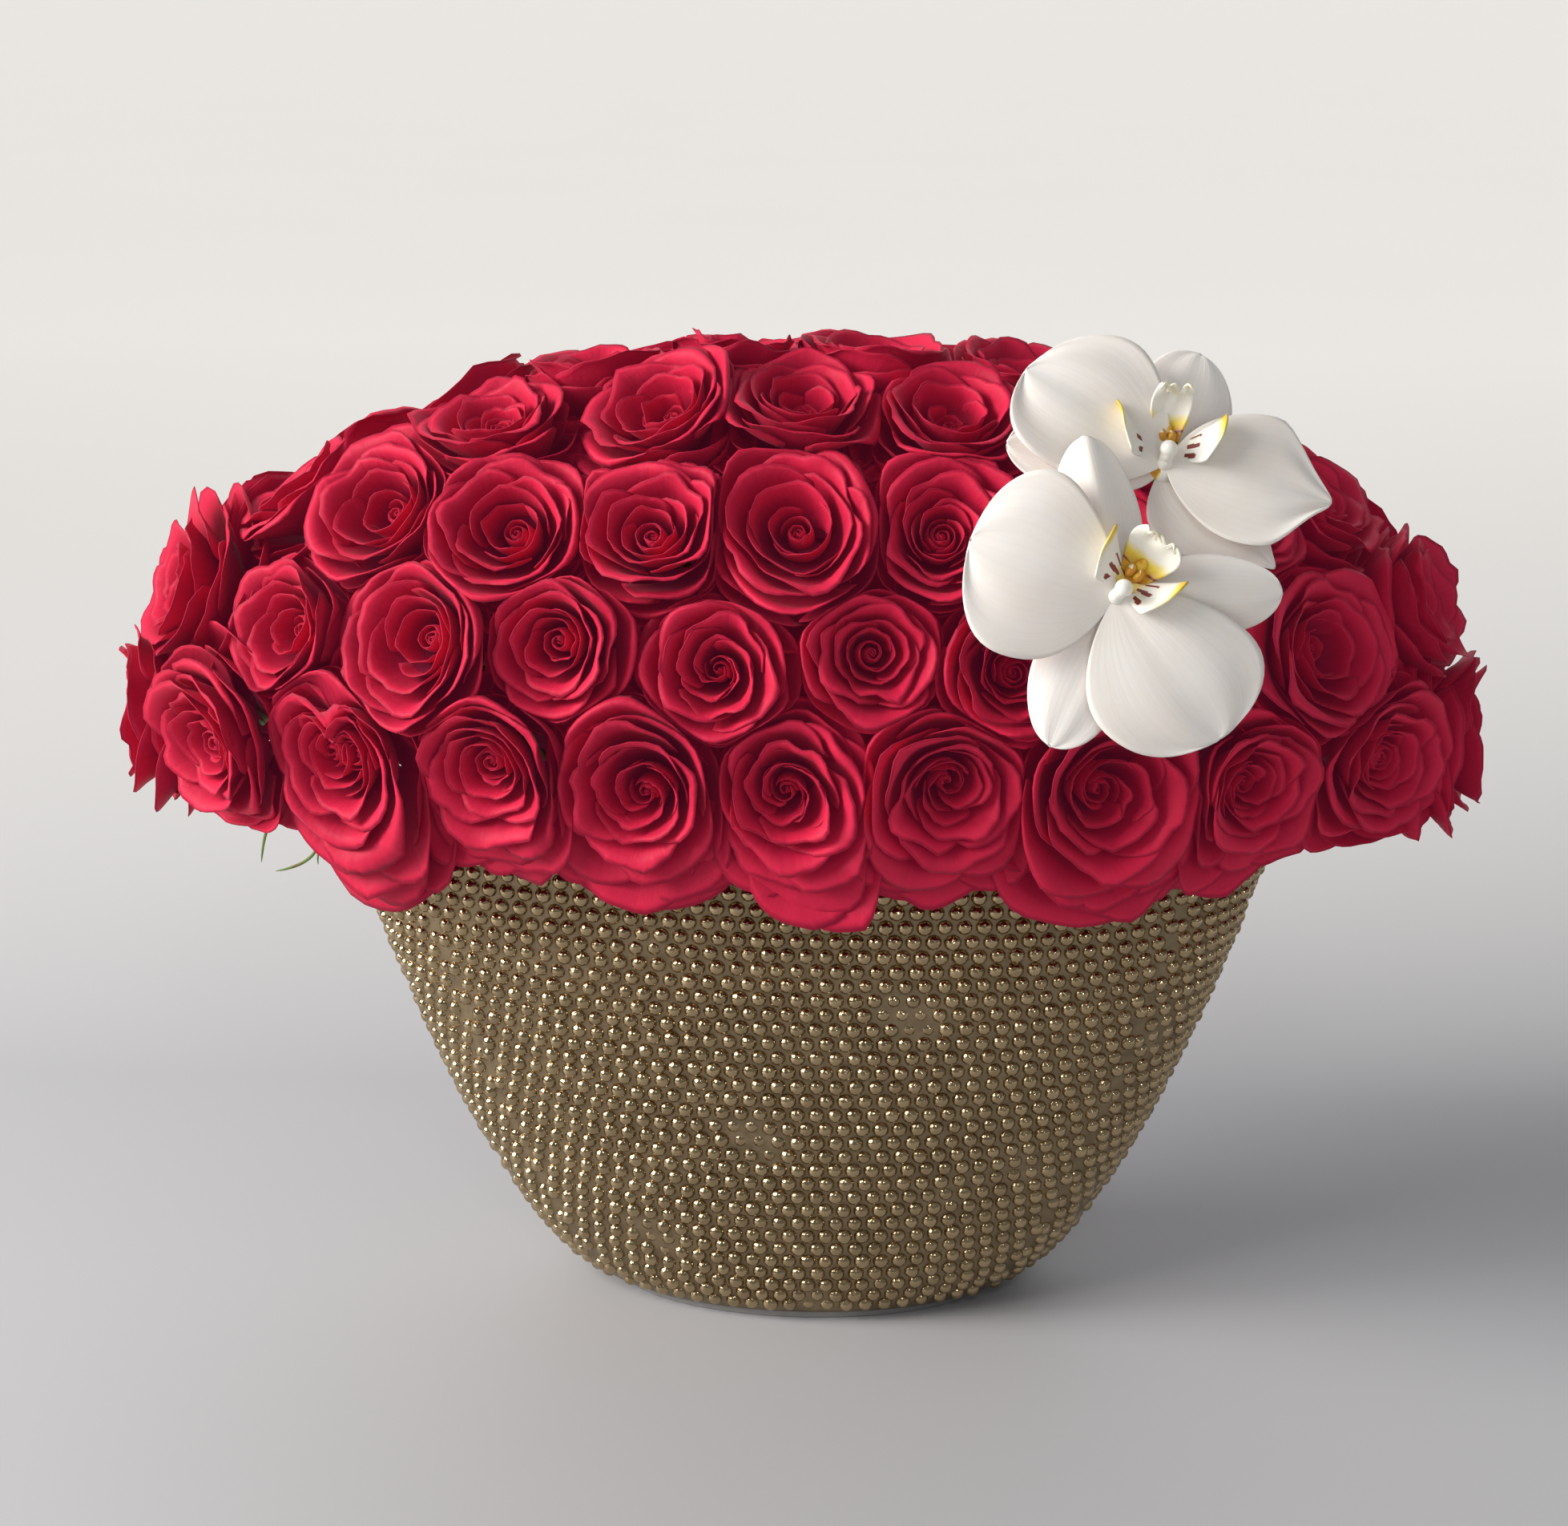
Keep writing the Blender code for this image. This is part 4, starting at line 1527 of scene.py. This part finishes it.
@dataclass(frozen=True)
class OrchidFlower:
    """One moth orchid: three sepals, two broad petals, the lip and the column."""

    name: str
    middle: Place
    faces: Place
    sepals: tuple[Tepal, ...]
    petals: tuple[Tepal, ...]
    lip_heading: float
    lip_rise: float = 1.0
    lip_spread: float = 1.0
    tongue: float = 1.0
    thickness: float = 0.0008

    def placed(self, points: Array) -> Array:
        """Puts points of the flower's own axes in the object's frame.

        Args:
            points: rows of x, y, z in mm and any further values.

        Returns:
            The points in metres.
        """
        faces = Vector(self.faces).normalized()
        right = UP.cross(faces).normalized()
        return points[:, :3] @ (np.array((right, faces.cross(right), faces)) * MM) + self.middle

    def lip_way(self) -> Pair:
        """The way along the lip in the flower's plane."""
        return math.cos(math.radians(self.lip_heading)), math.sin(math.radians(self.lip_heading))

    def lip_rows(self, along: Array, side: Array, out: Array, gold: Array, stripe: Array) -> Array:
        """Turns places on the lip into rows.

        Args:
            along: the place along the lip, in mm.
            side: the place across it.
            out: the place out of the flower's plane.
            gold: how golden the place is.
            stripe: how deep a stripe's colour is there.

        Returns:
            Rows of x, y, z, gold and stripe, in the flower's own axes.
        """
        cos, sin = self.lip_way()
        x, y = along * cos - side * sin, along * sin + side * cos
        return np.stack([x, y, out * self.lip_rise, gold, stripe], axis=1)

    def side_lobe(self, side: float, u: Array, v: Array) -> Array:
        """Shapes one of the two ears that stand up beside the column.

        Args:
            side: 1 for the left ear and -1 for the right one.
            u: the place across, from -1 to 1.
            v: the place from foot to rim, from 0 to 1.

        Returns:
            Rows of x, y, z, gold and stripe.
        """
        reach = 6.0 + u * (2.2 + 6.6 * np.sin(v * 1.45)) + 3.6 * v**1.5
        lateral = (1.6 + 8.8 * np.sin(v * 1.75) + (1.6 + 1.2 * u) * v + 2.2 * v * v) * self.lip_spread
        lateral -= 3.2 * np.clip(-u, 0.0, 1.0) ** 1.5 * v
        height = 1.2 + 11.0 * v**1.1 * (1.0 - 0.30 * np.abs(u) ** 2.4) + 0.5 * np.sin(4.0 * u + side) * v
        gold = 0.85 * smooth(v, 0.60, 0.98) * (0.55 + 0.45 * u) + 0.55 * (1.0 - smooth(v, 0.05, 0.45))
        lines = (np.sin(u * 9.0 + v * 3.0) > 0.15) & (u < 0.75)
        stripe = 0.9 * lines * smooth(v, 0.08, 0.2) * (1.0 - smooth(v, 0.36, 0.56))
        return self.lip_rows(reach, side * lateral, height, gold, stripe)

    def mid_lobe(self, u: Array, v: Array) -> Array:
        """Shapes the tongue of the lip, which widens, bends up and ends in a frill.

        Args:
            u: the place across, from -1 to 1.
            v: the place from foot to tip, from 0 to 1.

        Returns:
            Rows of x, y, z, gold and stripe.
        """
        width = 2.6 + 7.2 * self.tongue * np.sin(v**1.3 * 2.45)
        reach = 3.0 + 21.0 * np.sin(v * 1.35) + 0.7 * np.sin(u * 7.0) * v**3
        frill = 0.8 * np.sin(u * 8.0 + 1.0) * v**4
        height = 0.6 + 3.2 * v + 9.5 * v**3 + 2.4 * u * u * np.sin(v * 3.0) + frill
        gold = 0.95 * (1.0 - smooth(v, 0.30, 0.72)) + 0.30 * smooth(v, 0.75, 1.0) * (1.0 - np.abs(u))
        stripe = 0.8 * smooth(np.abs(u), 0.35, 0.6) * (np.sin(v * 42.0) > 0.2) * (1.0 - smooth(v, 0.30, 0.45))
        return self.lip_rows(reach, u * width, height, gold, stripe)

    def tendril(self, side: float, u: Array, v: Array) -> Array:
        """Shapes a thread that curls back from a corner of the tongue's tip.

        Args:
            side: 1 for the left thread and -1 for the right one.
            u: the place across, from -1 to 1.
            v: the place from foot to tip, from 0 to 1.

        Returns:
            Rows of x, y, z, gold and stripe.
        """
        turn, size = 4.4 * v, 2.4 * (1.0 - 0.45 * v) * 0.9
        reach, height = 21.5 + 1.5 * v + size * np.sin(turn), 12.5 + size * (1.0 - np.cos(turn)) + u * 0.1
        lateral = side * (2.2 + 3.4 * v) + u * (0.75 - 0.5 * v)
        return self.lip_rows(reach, lateral, height, 0.25 + 0.0 * u, 0.0 * u)

    def build_lip(self, sheet: bpy.types.Mesh, throat: bpy.types.Material) -> bpy.types.Object:
        """Builds the lobes and threads of the lip as one piece of sheet.

        Args:
            sheet: the flat sheet that each starts as.
            throat: the finish.

        Returns:
            The piece.
        """
        lobes = [partial(self.side_lobe, 1.0), partial(self.side_lobe, -1.0), self.mid_lobe]
        threads = [partial(self.tendril, 1.0), partial(self.tendril, -1.0)]
        mesh, rows = shaped_sheets(f"{self.name}_lip_lobes", sheet, lobes + threads)
        move_points(mesh, self.placed(rows))
        add_attribute(mesh, "gold", rows[:, 3])
        add_attribute(mesh, "stripe", rows[:, 4])
        return add_piece(mesh, throat, (f"{self.name}_lip",), self.thickness)

    def build_column(self, throat: bpy.types.Material) -> bpy.types.Object:
        """Builds the column, its round cap and the golden callus under it from rounded bodies.

        Args:
            throat: the finish.

        Returns:
            The piece.
        """
        cos, sin = self.lip_way()
        bodies = (
            ((0.4, 0.0, 2.0), (2.9, 2.9, 3.8), 0.0), ((1.9, 0.0, 5.2), (2.5, 2.4, 4.2), 0.0),
            ((3.4, 0.0, 8.2), (3.0, 3.1, 2.8), 0.02), ((-0.6, 0.0, 0.4), (5.2, 5.2, 2.6), 0.0),
            ((10.2, 1.6, 3.6), (2.5, 1.7, 2.6), 1.0), ((10.2, -1.6, 3.6), (2.5, 1.7, 2.6), 1.0),
            ((13.4, 0.0, 3.2), (3.0, 1.9, 1.7), 0.8),
        )
        bm, gold = bmesh.new(), []
        turned = Matrix.Rotation(math.radians(self.lip_heading), 4, "Z")
        for (along, side, out), size, golden in bodies:
            place = Matrix.Translation((along * cos - side * sin, along * sin + side * cos, out))
            spot = place @ turned @ Matrix.Diagonal((*size, 1.0))
            made = bmesh.ops.create_uvsphere(bm, u_segments=20, v_segments=12, radius=1.0, matrix=spot)
            gold += [golden] * len(made["verts"])
        mesh = mesh_of(f"{self.name}_column", bm)
        move_points(mesh, self.placed(points_of(mesh)))
        add_attribute(mesh, "gold", np.array(gold))
        add_attribute(mesh, "stripe", np.zeros(len(gold)))
        return add_piece(mesh, throat)

    def build(
        self, sheet: bpy.types.Mesh, wax: bpy.types.Material, throat: bpy.types.Material
    ) -> list[bpy.types.Object]:
        """Builds the flower.

        Args:
            sheet: the flat sheet that each petal starts as.
            wax: the petals' finish.
            throat: the lip's and the column's finish.

        Returns:
            The pieces: sepals, petals, lip and column.
        """
        pieces = []
        for kind, tepals in (("sepals", self.sepals), ("petals", self.petals)):
            makers = [tepal.shaped for tepal in tepals]
            mesh, points = shaped_sheets(f"{self.name}_{kind}_shaped", sheet, makers)
            move_points(mesh, self.placed(points))
            pieces.append(add_piece(mesh, wax, (f"{self.name}_{kind}",), self.thickness))
        return [*pieces, self.build_lip(sheet, throat), self.build_column(throat)]


FRONT_ORCHID = OrchidFlower(
    name="front_orchid",
    middle=(0.109, -0.113, 0.312),
    faces=(0.06, -0.95, 0.30),
    sepals=(
        Tepal(247, 54, 17.0, 0.0, 0.05, broad=-0.05, lift=0.05, recurve=0.25, cup=-3.5, wave=0.8, seed=30),
        Tepal(
            100, 55, 14.5, 0.6, 0.05, broad=-0.15, lift=0.16,
            recurve=0.30, cup=0, fold=-9.0, wave=0.5, seed=31,
        ),
        Tepal(2, 57, 14.0, 0.3, 0.05, broad=0.10, lift=0.05, recurve=0.30, cup=-6.0, wave=0.7, seed=32),
    ),
    petals=(
        Tepal(
            163, 52, 34.0, 2.4, 0.09, broad=0.30, lift=0.32,
            recurve=0.28, cup=-1.6, wave=2.0, skew=3, seed=30,
        ),
        Tepal(
            304, 59, 31.5, 2.8, 0.10, broad=0.32, lift=0.10,
            recurve=0.38, cup=-2.6, wave=1.8, skew=-3, seed=31,
        ),
    ),
    lip_heading=51,
)
UPPER_ORCHID = OrchidFlower(
    name="upper_orchid",
    middle=(0.126, -0.080, 0.350),
    faces=(0.16, -0.80, 0.58),
    sepals=(
        Tepal(66, 49, 18.0, 0.0, 0.05, broad=0.05, lift=0.05, recurve=0.30, cup=-4.0, wave=0.8, seed=30),
        Tepal(168, 54, 16.0, 0.4, 0.05, broad=0.0, lift=0.02, recurve=0.10, cup=2.0, wave=0.8, seed=31),
        Tepal(313, 51, 20.0, 0.2, 0.02, broad=-0.70, lift=0.04, recurve=0.20, cup=-3.0, pointed=0.6, seed=32),
    ),
    petals=(
        Tepal(
            140, 57, 31.0, 2.4, 0.10, broad=0.30, lift=0.30,
            recurve=0.24, cup=-0.4, wave=3.0, skew=-2, seed=30,
        ),
        Tepal(
            345, 59, 27.5, 2.8, broad=0.05, lift=0.16,
            recurve=0.30, cup=2.0, wave=2.4, pointed=0.6, seed=31,
        ),
    ),
    lip_heading=80,
    lip_rise=1.15,
    lip_spread=1.25,
    tongue=0.62,
)


@dataclass(frozen=True)
class Orchids:
    """The two orchids on the right of the dome's front."""

    flowers: tuple[OrchidFlower, ...] = (FRONT_ORCHID, UPPER_ORCHID)
    sheet_faces: tuple[int, int] = (28, 30)

    def build(self, wax: bpy.types.Material, throat: bpy.types.Material) -> list[bpy.types.Object]:
        """Builds both flowers and gives their pieces."""
        sheet = sheet_template(*self.sheet_faces)
        return [piece for flower in self.flowers for piece in flower.build(sheet, wax, throat)]


# --- Vase ------------------------------------------------------------------------------------------------


@dataclass(frozen=True)
class Vase:
    """The boat-shaped vase: a smooth wall, a foot and rows of studs.

    The envelope is the oval through the studs' tops, which widens from the foot to the rim. Angles run round
    the vase from the middle of its front. The seam gap is a share of the studs' pitch.
    """

    height: float = 0.195
    foot_edge: float = 0.0025
    foot_half: Pair = (0.0795, 0.0440)
    hull_foot: Pair = (0.080, 0.044)
    hull_rim: Pair = (0.184, 0.070)
    power: float = 0.575
    wall: float = 0.0045
    floor: float = 0.008
    sides: int = 160
    stud_stands: float = 0.0026
    stud_radius: float = 0.00340
    stud_pitch: float = 0.0073
    row_pitch: float = 0.0062
    row_margins: Pair = (0.0018, 0.0028)
    stud_span: Pair = (0.004, 0.1928)
    seam: float = math.radians(55.0)
    seam_gap: float = 0.3
    slope_step: float = 0.0005
    unevenness: float = 0.00024
    sway: float = 0.0012
    worn_depth: float = 0.0016

    def half_at(self, height: Array | float) -> list[Array]:
        """Works out how wide and deep the envelope is.

        Args:
            height: the height.

        Returns:
            The half width and the half depth there.
        """
        share = (np.asarray(height) - self.foot_edge) / (self.height - self.foot_edge)
        rise = np.clip(share, 0.0, 1.0) ** self.power
        return [foot + (rim - foot) * rise for foot, rim in zip(self.hull_foot, self.hull_rim)]

    def profile(self) -> list[Pair]:
        """Draws the wall's section.

        Returns:
            Points as (inset from the envelope, height), from the foot's middle round to the floor's middle,
            where the inset is 1.
        """
        out, outer = self.stud_stands, np.linspace(0.0, 1.0, 34)[1:-1] ** 1.6
        path = [(1.0, 0.0), (out + 0.0004, 0.0), (out, 0.0006), (out, self.foot_edge)]
        path += [(out, self.foot_edge + (self.height - self.foot_edge) * s) for s in outer]
        path += [(out, self.height - 0.0012), (out + 0.0008, self.height), (self.wall - 0.0002, self.height)]
        inner = np.linspace(1.0, 0.0, 18) ** 1.4
        path += [(self.wall + 0.0004, self.floor + (self.height - 0.0014 - self.floor) * s) for s in inner]
        return path + [(1.0, self.floor)]

    def build_wall(self, ground: bpy.types.Material) -> bpy.types.Object:
        """Spins the wall's section round the vase and draws it out to the boat shape.

        Args:
            ground: the finish.

        Returns:
            The piece.
        """
        bm = bmesh.new()
        verts = [bm.verts.new((1.0 - inset, 0.0, height)) for inset, height in self.profile()]
        edges = [bm.edges.new(pair) for pair in zip(verts, verts[1:])]
        bmesh.ops.spin(
            bm, geom=verts + edges, cent=(0, 0, 0), axis=(0, 0, 1), steps=self.sides, angle=math.tau,
            use_merge=True,
        )
        bmesh.ops.remove_doubles(bm, verts=bm.verts, dist=1e-7)
        bmesh.ops.recalc_face_normals(bm, faces=bm.faces)
        mesh = mesh_of("vase_wall", bm)
        points = points_of(mesh)
        x, y, height = points.T
        angle, radius = np.arctan2(y, x), np.hypot(x, y)
        halves = zip(self.half_at(height), self.foot_half, (np.cos(angle), np.sin(angle)))
        for axis, (half, foot, part) in enumerate(halves):
            half = np.where(height < self.foot_edge - 1e-6, foot, half)
            points[:, axis] = np.where(radius < 1e-6, 0.0, (half - (1.0 - radius)) * part)
        return add_piece(move_points(mesh, points), ground, ("vase",))

    def rows(self) -> Array:
        """Spaces the rows of studs evenly along the slope of the wall.

        Returns:
            Their heights, from the top down.
        """
        heights = np.linspace(self.foot_edge, self.height, 1200)
        step = np.hypot(np.diff(heights), np.diff(self.half_at(heights)[0]) * 0.5)
        along = np.concatenate([[0.0], np.cumsum(step)])
        low, high = self.row_margins
        wanted = along[-1] - high - np.arange(int(along[-1] / self.row_pitch) + 1) * self.row_pitch
        return np.interp(wanted[wanted > low], along, heights)

    def ring_angles(self, height: float, row: int) -> list[float]:
        """Sets out one row of studs round the vase, a little unevenly spaced where the panels meet.

        Args:
            height: the row's height.
            row: its number. Odd rows stand half a step on.

        Returns:
            The angles, down the right side and then down the left.
        """
        wide, deep = (float(half) for half in self.half_at(height))
        t = np.linspace(0.0, math.pi, 1441)
        along = run_along(np.hypot(wide * np.cos(t), deep * np.sin(t)), t[1])
        half, seam = float(along[-1]), float(np.interp(self.seam, t, along))
        places = []
        for middle, room in ((0.0, seam), (half / 2, half / 2 - seam), (half, seam)):
            steps = max(round(room / self.stud_pitch - self.seam_gap), 1)
            pitch = (room - self.seam_gap * self.stud_pitch) / steps
            spots = (np.arange(steps + 1) if row % 2 == 0 else np.arange(steps) + 0.5) * pitch
            signed = sorted({sign * spot for spot in spots for sign in (1.0, -1.0)})
            places += [middle + spot for spot in signed if -1e-9 <= middle + spot <= half + 1e-9]
        angles = [float(angle) for angle in np.interp(places, along, t)]
        return angles + [-angle for angle in angles if 1e-6 < angle < math.pi - 1e-6]

    def places(self, rng: np.random.Generator) -> tuple[Array, Array]:
        """Sets out all the studs.

        Args:
            rng: the source of chance.

        Returns:
            Their angles and heights.
        """
        found = []
        for row, height in enumerate(self.rows()):
            wide = float(self.half_at(height)[0])
            for angle in self.ring_angles(height, row):
                off_seam = (abs(math.sin(angle)) - math.sin(self.seam)) / 0.06
                loose = self.unevenness * (0.35 + 1.3 * math.exp(-(off_seam**2)))
                shift = rng.normal(0.0, loose) / wide
                sway = self.sway * math.sin(2.3 * angle + 14.0 * height) * (height / self.height)
                found.append((angle + shift, height + rng.normal(0.0, loose) + sway))
        angle, height = np.array(found).T
        return angle, np.clip(height, *self.stud_span)

    def stud_template(self) -> bpy.types.Mesh:
        """Makes one stud of unit radius: a round cap, closed underneath.

        Returns:
            The mesh.
        """
        bm = bmesh.new()
        bmesh.ops.create_uvsphere(bm, u_segments=10, v_segments=8, radius=1.0)
        bmesh.ops.delete(bm, geom=[vert for vert in bm.verts if vert.co.z < -0.05], context="VERTS")
        bmesh.ops.contextual_create(bm, geom=[edge for edge in bm.edges if edge.is_boundary])
        return mesh_of("stud_template", bm)

    def seats(self, a: Array, z: Array) -> tuple[Array, Array]:
        """Finds where the envelope is touched and how studs stand on it.

        Args:
            a: the studs' angles.
            z: their heights.

        Returns:
            The places on the envelope, and for each stud its axes across, up and outward.
        """
        wide, deep = self.half_at(z)
        wide_above, deep_above = self.half_at(z + self.slope_step)
        slope_x, slope_y = (wide_above - wide) / self.slope_step, (deep_above - deep) / self.slope_step
        fall = slope_x * np.sin(a) ** 2 / wide + slope_y * np.cos(a) ** 2 / deep
        normal = unit_rows(np.stack([np.sin(a) / wide, -np.cos(a) / deep, -fall], axis=1))
        across = unit_rows(np.cross(normal, (0.0, 0.0, 1.0)))
        place = np.stack([wide * np.sin(a), -deep * np.cos(a), z], axis=1)
        return place, np.stack([across, np.cross(normal, across), normal], axis=1)

    def build_studs(self, metal: bpy.types.Material) -> list[bpy.types.Object]:
        """Sets the studs in rows, some of them worn or sunk, one piece for each quarter turn of the vase.

        Args:
            metal: the finish.

        Returns:
            The pieces.
        """
        rng = np.random.default_rng(7)
        angle, height = self.places(rng)
        template, seam = self.stud_template(), self.seam
        panels = {
            "front": np.abs(angle) <= seam,
            "back": np.abs(angle) >= math.pi - seam,
            "right": (angle > seam) & (angle < math.pi - seam),
            "left": (angle < -seam) & (angle > seam - math.pi),
        }
        pieces = []
        for panel, chosen in panels.items():
            a, z = angle[chosen], height[chosen]
            place, axes = self.seats(a, z)
            size = self.stud_radius * (1.0 + rng.normal(0.0, 0.035, len(a)))
            level = z / self.height
            patch = np.sin(3.0 * a + 19.0 * level) + np.sin(7.0 * a - 11.0 * level + 1.0)
            worn = self.worn_depth * smooth(patch + 0.8 * np.sin(17.0 * a + 23.0 * level), 1.75, 2.5)
            sunk = self.stud_radius + worn + np.abs(rng.normal(0.0, 0.00012, len(a)))
            base = place - axes[:, 2] * sunk[:, None]
            mesh, unit, stud = repeated(f"studs_{panel}", template, len(a))
            move_points(mesh, base[stud] + size[stud, None] * (unit[:, None] @ axes[stud])[:, 0])
            add_attribute(mesh, "tone", rng.uniform(0.0, 1.0, len(a))[stud])
            pieces.append(add_piece(mesh, metal))
        return pieces

    def build(self, ground: bpy.types.Material, metal: bpy.types.Material) -> list[bpy.types.Object]:
        """Builds the wall and its studs and gives the pieces."""
        return [self.build_wall(ground), *self.build_studs(metal)]


# --- Studio ----------------------------------------------------------------------------------------------


def set_up(name: str, data: bpy.types.ID, at: Place, aim: Place) -> bpy.types.Object:
    """Puts a light or a camera in the scene, turned to a point.

    Args:
        name: its name.
        data: the light or camera.
        at: where it stands.
        aim: where it looks.

    Returns:
        Its object.
    """
    made = bpy.data.objects.new(name, data)
    made.location = at
    made.rotation_euler = (Vector(aim) - Vector(at)).to_track_quat("-Z", "Y").to_euler()
    bpy.context.scene.collection.objects.link(made)
    return made


class LampKind(Enum):
    """The kinds of light in the studio."""

    AREA = "AREA"
    SUN = "SUN"
    SPOT = "SPOT"


@dataclass(frozen=True)
class Lamp:
    """One soft light. Its width is an area's side in metres, or the angle of a sun's disc or spot's cone."""

    name: str
    kind: LampKind
    at: Place
    aim: Place
    power: float
    width: float
    colour: Colour = (1.0, 1.0, 1.0)
    spot_radius: float = 0.15

    def build(self) -> None:
        """Sets up the light."""
        data = bpy.data.lights.new(self.name, self.kind.value)
        data.energy, data.color = self.power, self.colour
        if self.kind is LampKind.AREA:
            data.size = self.width
        elif self.kind is LampKind.SUN:
            data.angle = math.radians(self.width)
        else:
            data.spot_size, data.spot_blend = math.radians(self.width), 1.0
            data.shadow_soft_size = self.spot_radius
        set_up(self.name, data, self.at, self.aim)


@dataclass(frozen=True)
class Studio:
    """Floor, lights, sky and camera."""

    camera_at: Place = (0.0491, -0.9814, 0.5171)
    camera_aim: Place = (-0.0085, 0.0, 0.2177)
    lens: float = 60.7
    sensor: float = 36.0
    floor_half: float = 60.0
    sky: Colour = (0.245, 0.25, 0.26)
    haze: Colour = (0.80, 0.79, 0.76)
    lamps: tuple[Lamp, ...] = (
        Lamp(
            "window_key", LampKind.AREA, (-1.15, -0.55, 0.90), (0.0, 0.0, 0.25), 20.0, 0.95,
            (1.0, 0.97, 0.93),
        ),
        Lamp("window_sky", LampKind.SUN, (0.0, 0.0, 0.0), (1.8, 0.34, -0.85), 1.70, 20.0, (1.0, 0.98, 0.96)),
        Lamp("back_bounce", LampKind.SUN, (0.0, 0.0, 0.0), (-0.1, -1.0, -0.6), 0.75, 80.0, (0.98, 0.98, 1.0)),
        Lamp("orchid_accent", LampKind.SPOT, (0.50, -0.85, 0.50), (0.134, -0.115, 0.280), 31.0, 6.2),
        Lamp("far_window", LampKind.AREA, (0.3, -2.0, 1.7), (0.0, 0.0, 0.2), 2.8, 0.30),
    )

    def build_camera(self) -> None:
        """Sets up the camera."""
        data = bpy.data.cameras.new("camera")
        data.lens, data.sensor_width = self.lens, self.sensor
        bpy.context.scene.camera = set_up("camera", data, self.camera_at, self.camera_aim)

    def build_floor(self, stone: bpy.types.Material) -> None:
        """Lays the floor at the height of the vase's foot.

        Args:
            stone: the finish.
        """
        bm = bmesh.new()
        bmesh.ops.create_grid(bm, x_segments=1, y_segments=1, size=self.floor_half)
        mesh = mesh_of("studio_floor", bm)
        mesh.materials.append(stone)
        floor = bpy.data.objects.new("studio_floor", mesh)
        bpy.context.scene.collection.objects.link(floor)

    def build_sky(self) -> None:
        """Sets the even light from all round, with a paler haze where the camera looks past the floor."""
        world = bpy.data.worlds.new("studio_sky")
        graph = Graph(world)
        seen = graph.node("ShaderNodeLightPath", {}, {}).outputs["Is Camera Ray"]
        graph.feed(graph.tree.nodes["Background"], {"Color": graph.mixed(seen, self.sky, self.haze)})
        bpy.context.scene.world = world

    def build(self, stone: bpy.types.Material) -> None:
        """Builds the studio.

        Args:
            stone: the floor's finish.
        """
        self.build_camera()
        self.build_floor(stone)
        self.build_sky()
        for lamp in self.lamps:
            lamp.build()
        bpy.context.scene.view_settings.view_transform = "Standard"


def main() -> None:
    """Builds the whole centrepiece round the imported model."""
    logging.basicConfig(level=logging.INFO, format="%(name)s: %(message)s")
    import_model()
    Studio().build(PaleStone().material())
    pieces = Vase().build(GiltGround().material(), PolishedStud().material())
    green = Greenery().material()
    dome = Dome()
    roses = dome.roses()
    pieces += Roses().build(roses, PetalVelvet().material())
    pieces += RoseGreens().build(roses, dome, green)
    pieces += Orchids().build(OrchidWax().material(), OrchidThroat().material())
    for piece in pieces:
        LOG.info("%s: %d faces", piece.name, len(piece.data.polygons))
    for name, material in (
        ("floral_foam", FloralFoam().material()), ("front_orchid_stem", green), ("upper_orchid_stem", green),
    ):
        redress(name, material)
        LOG.info("%s: new finish", name)


if __name__ == "__main__":
    main()
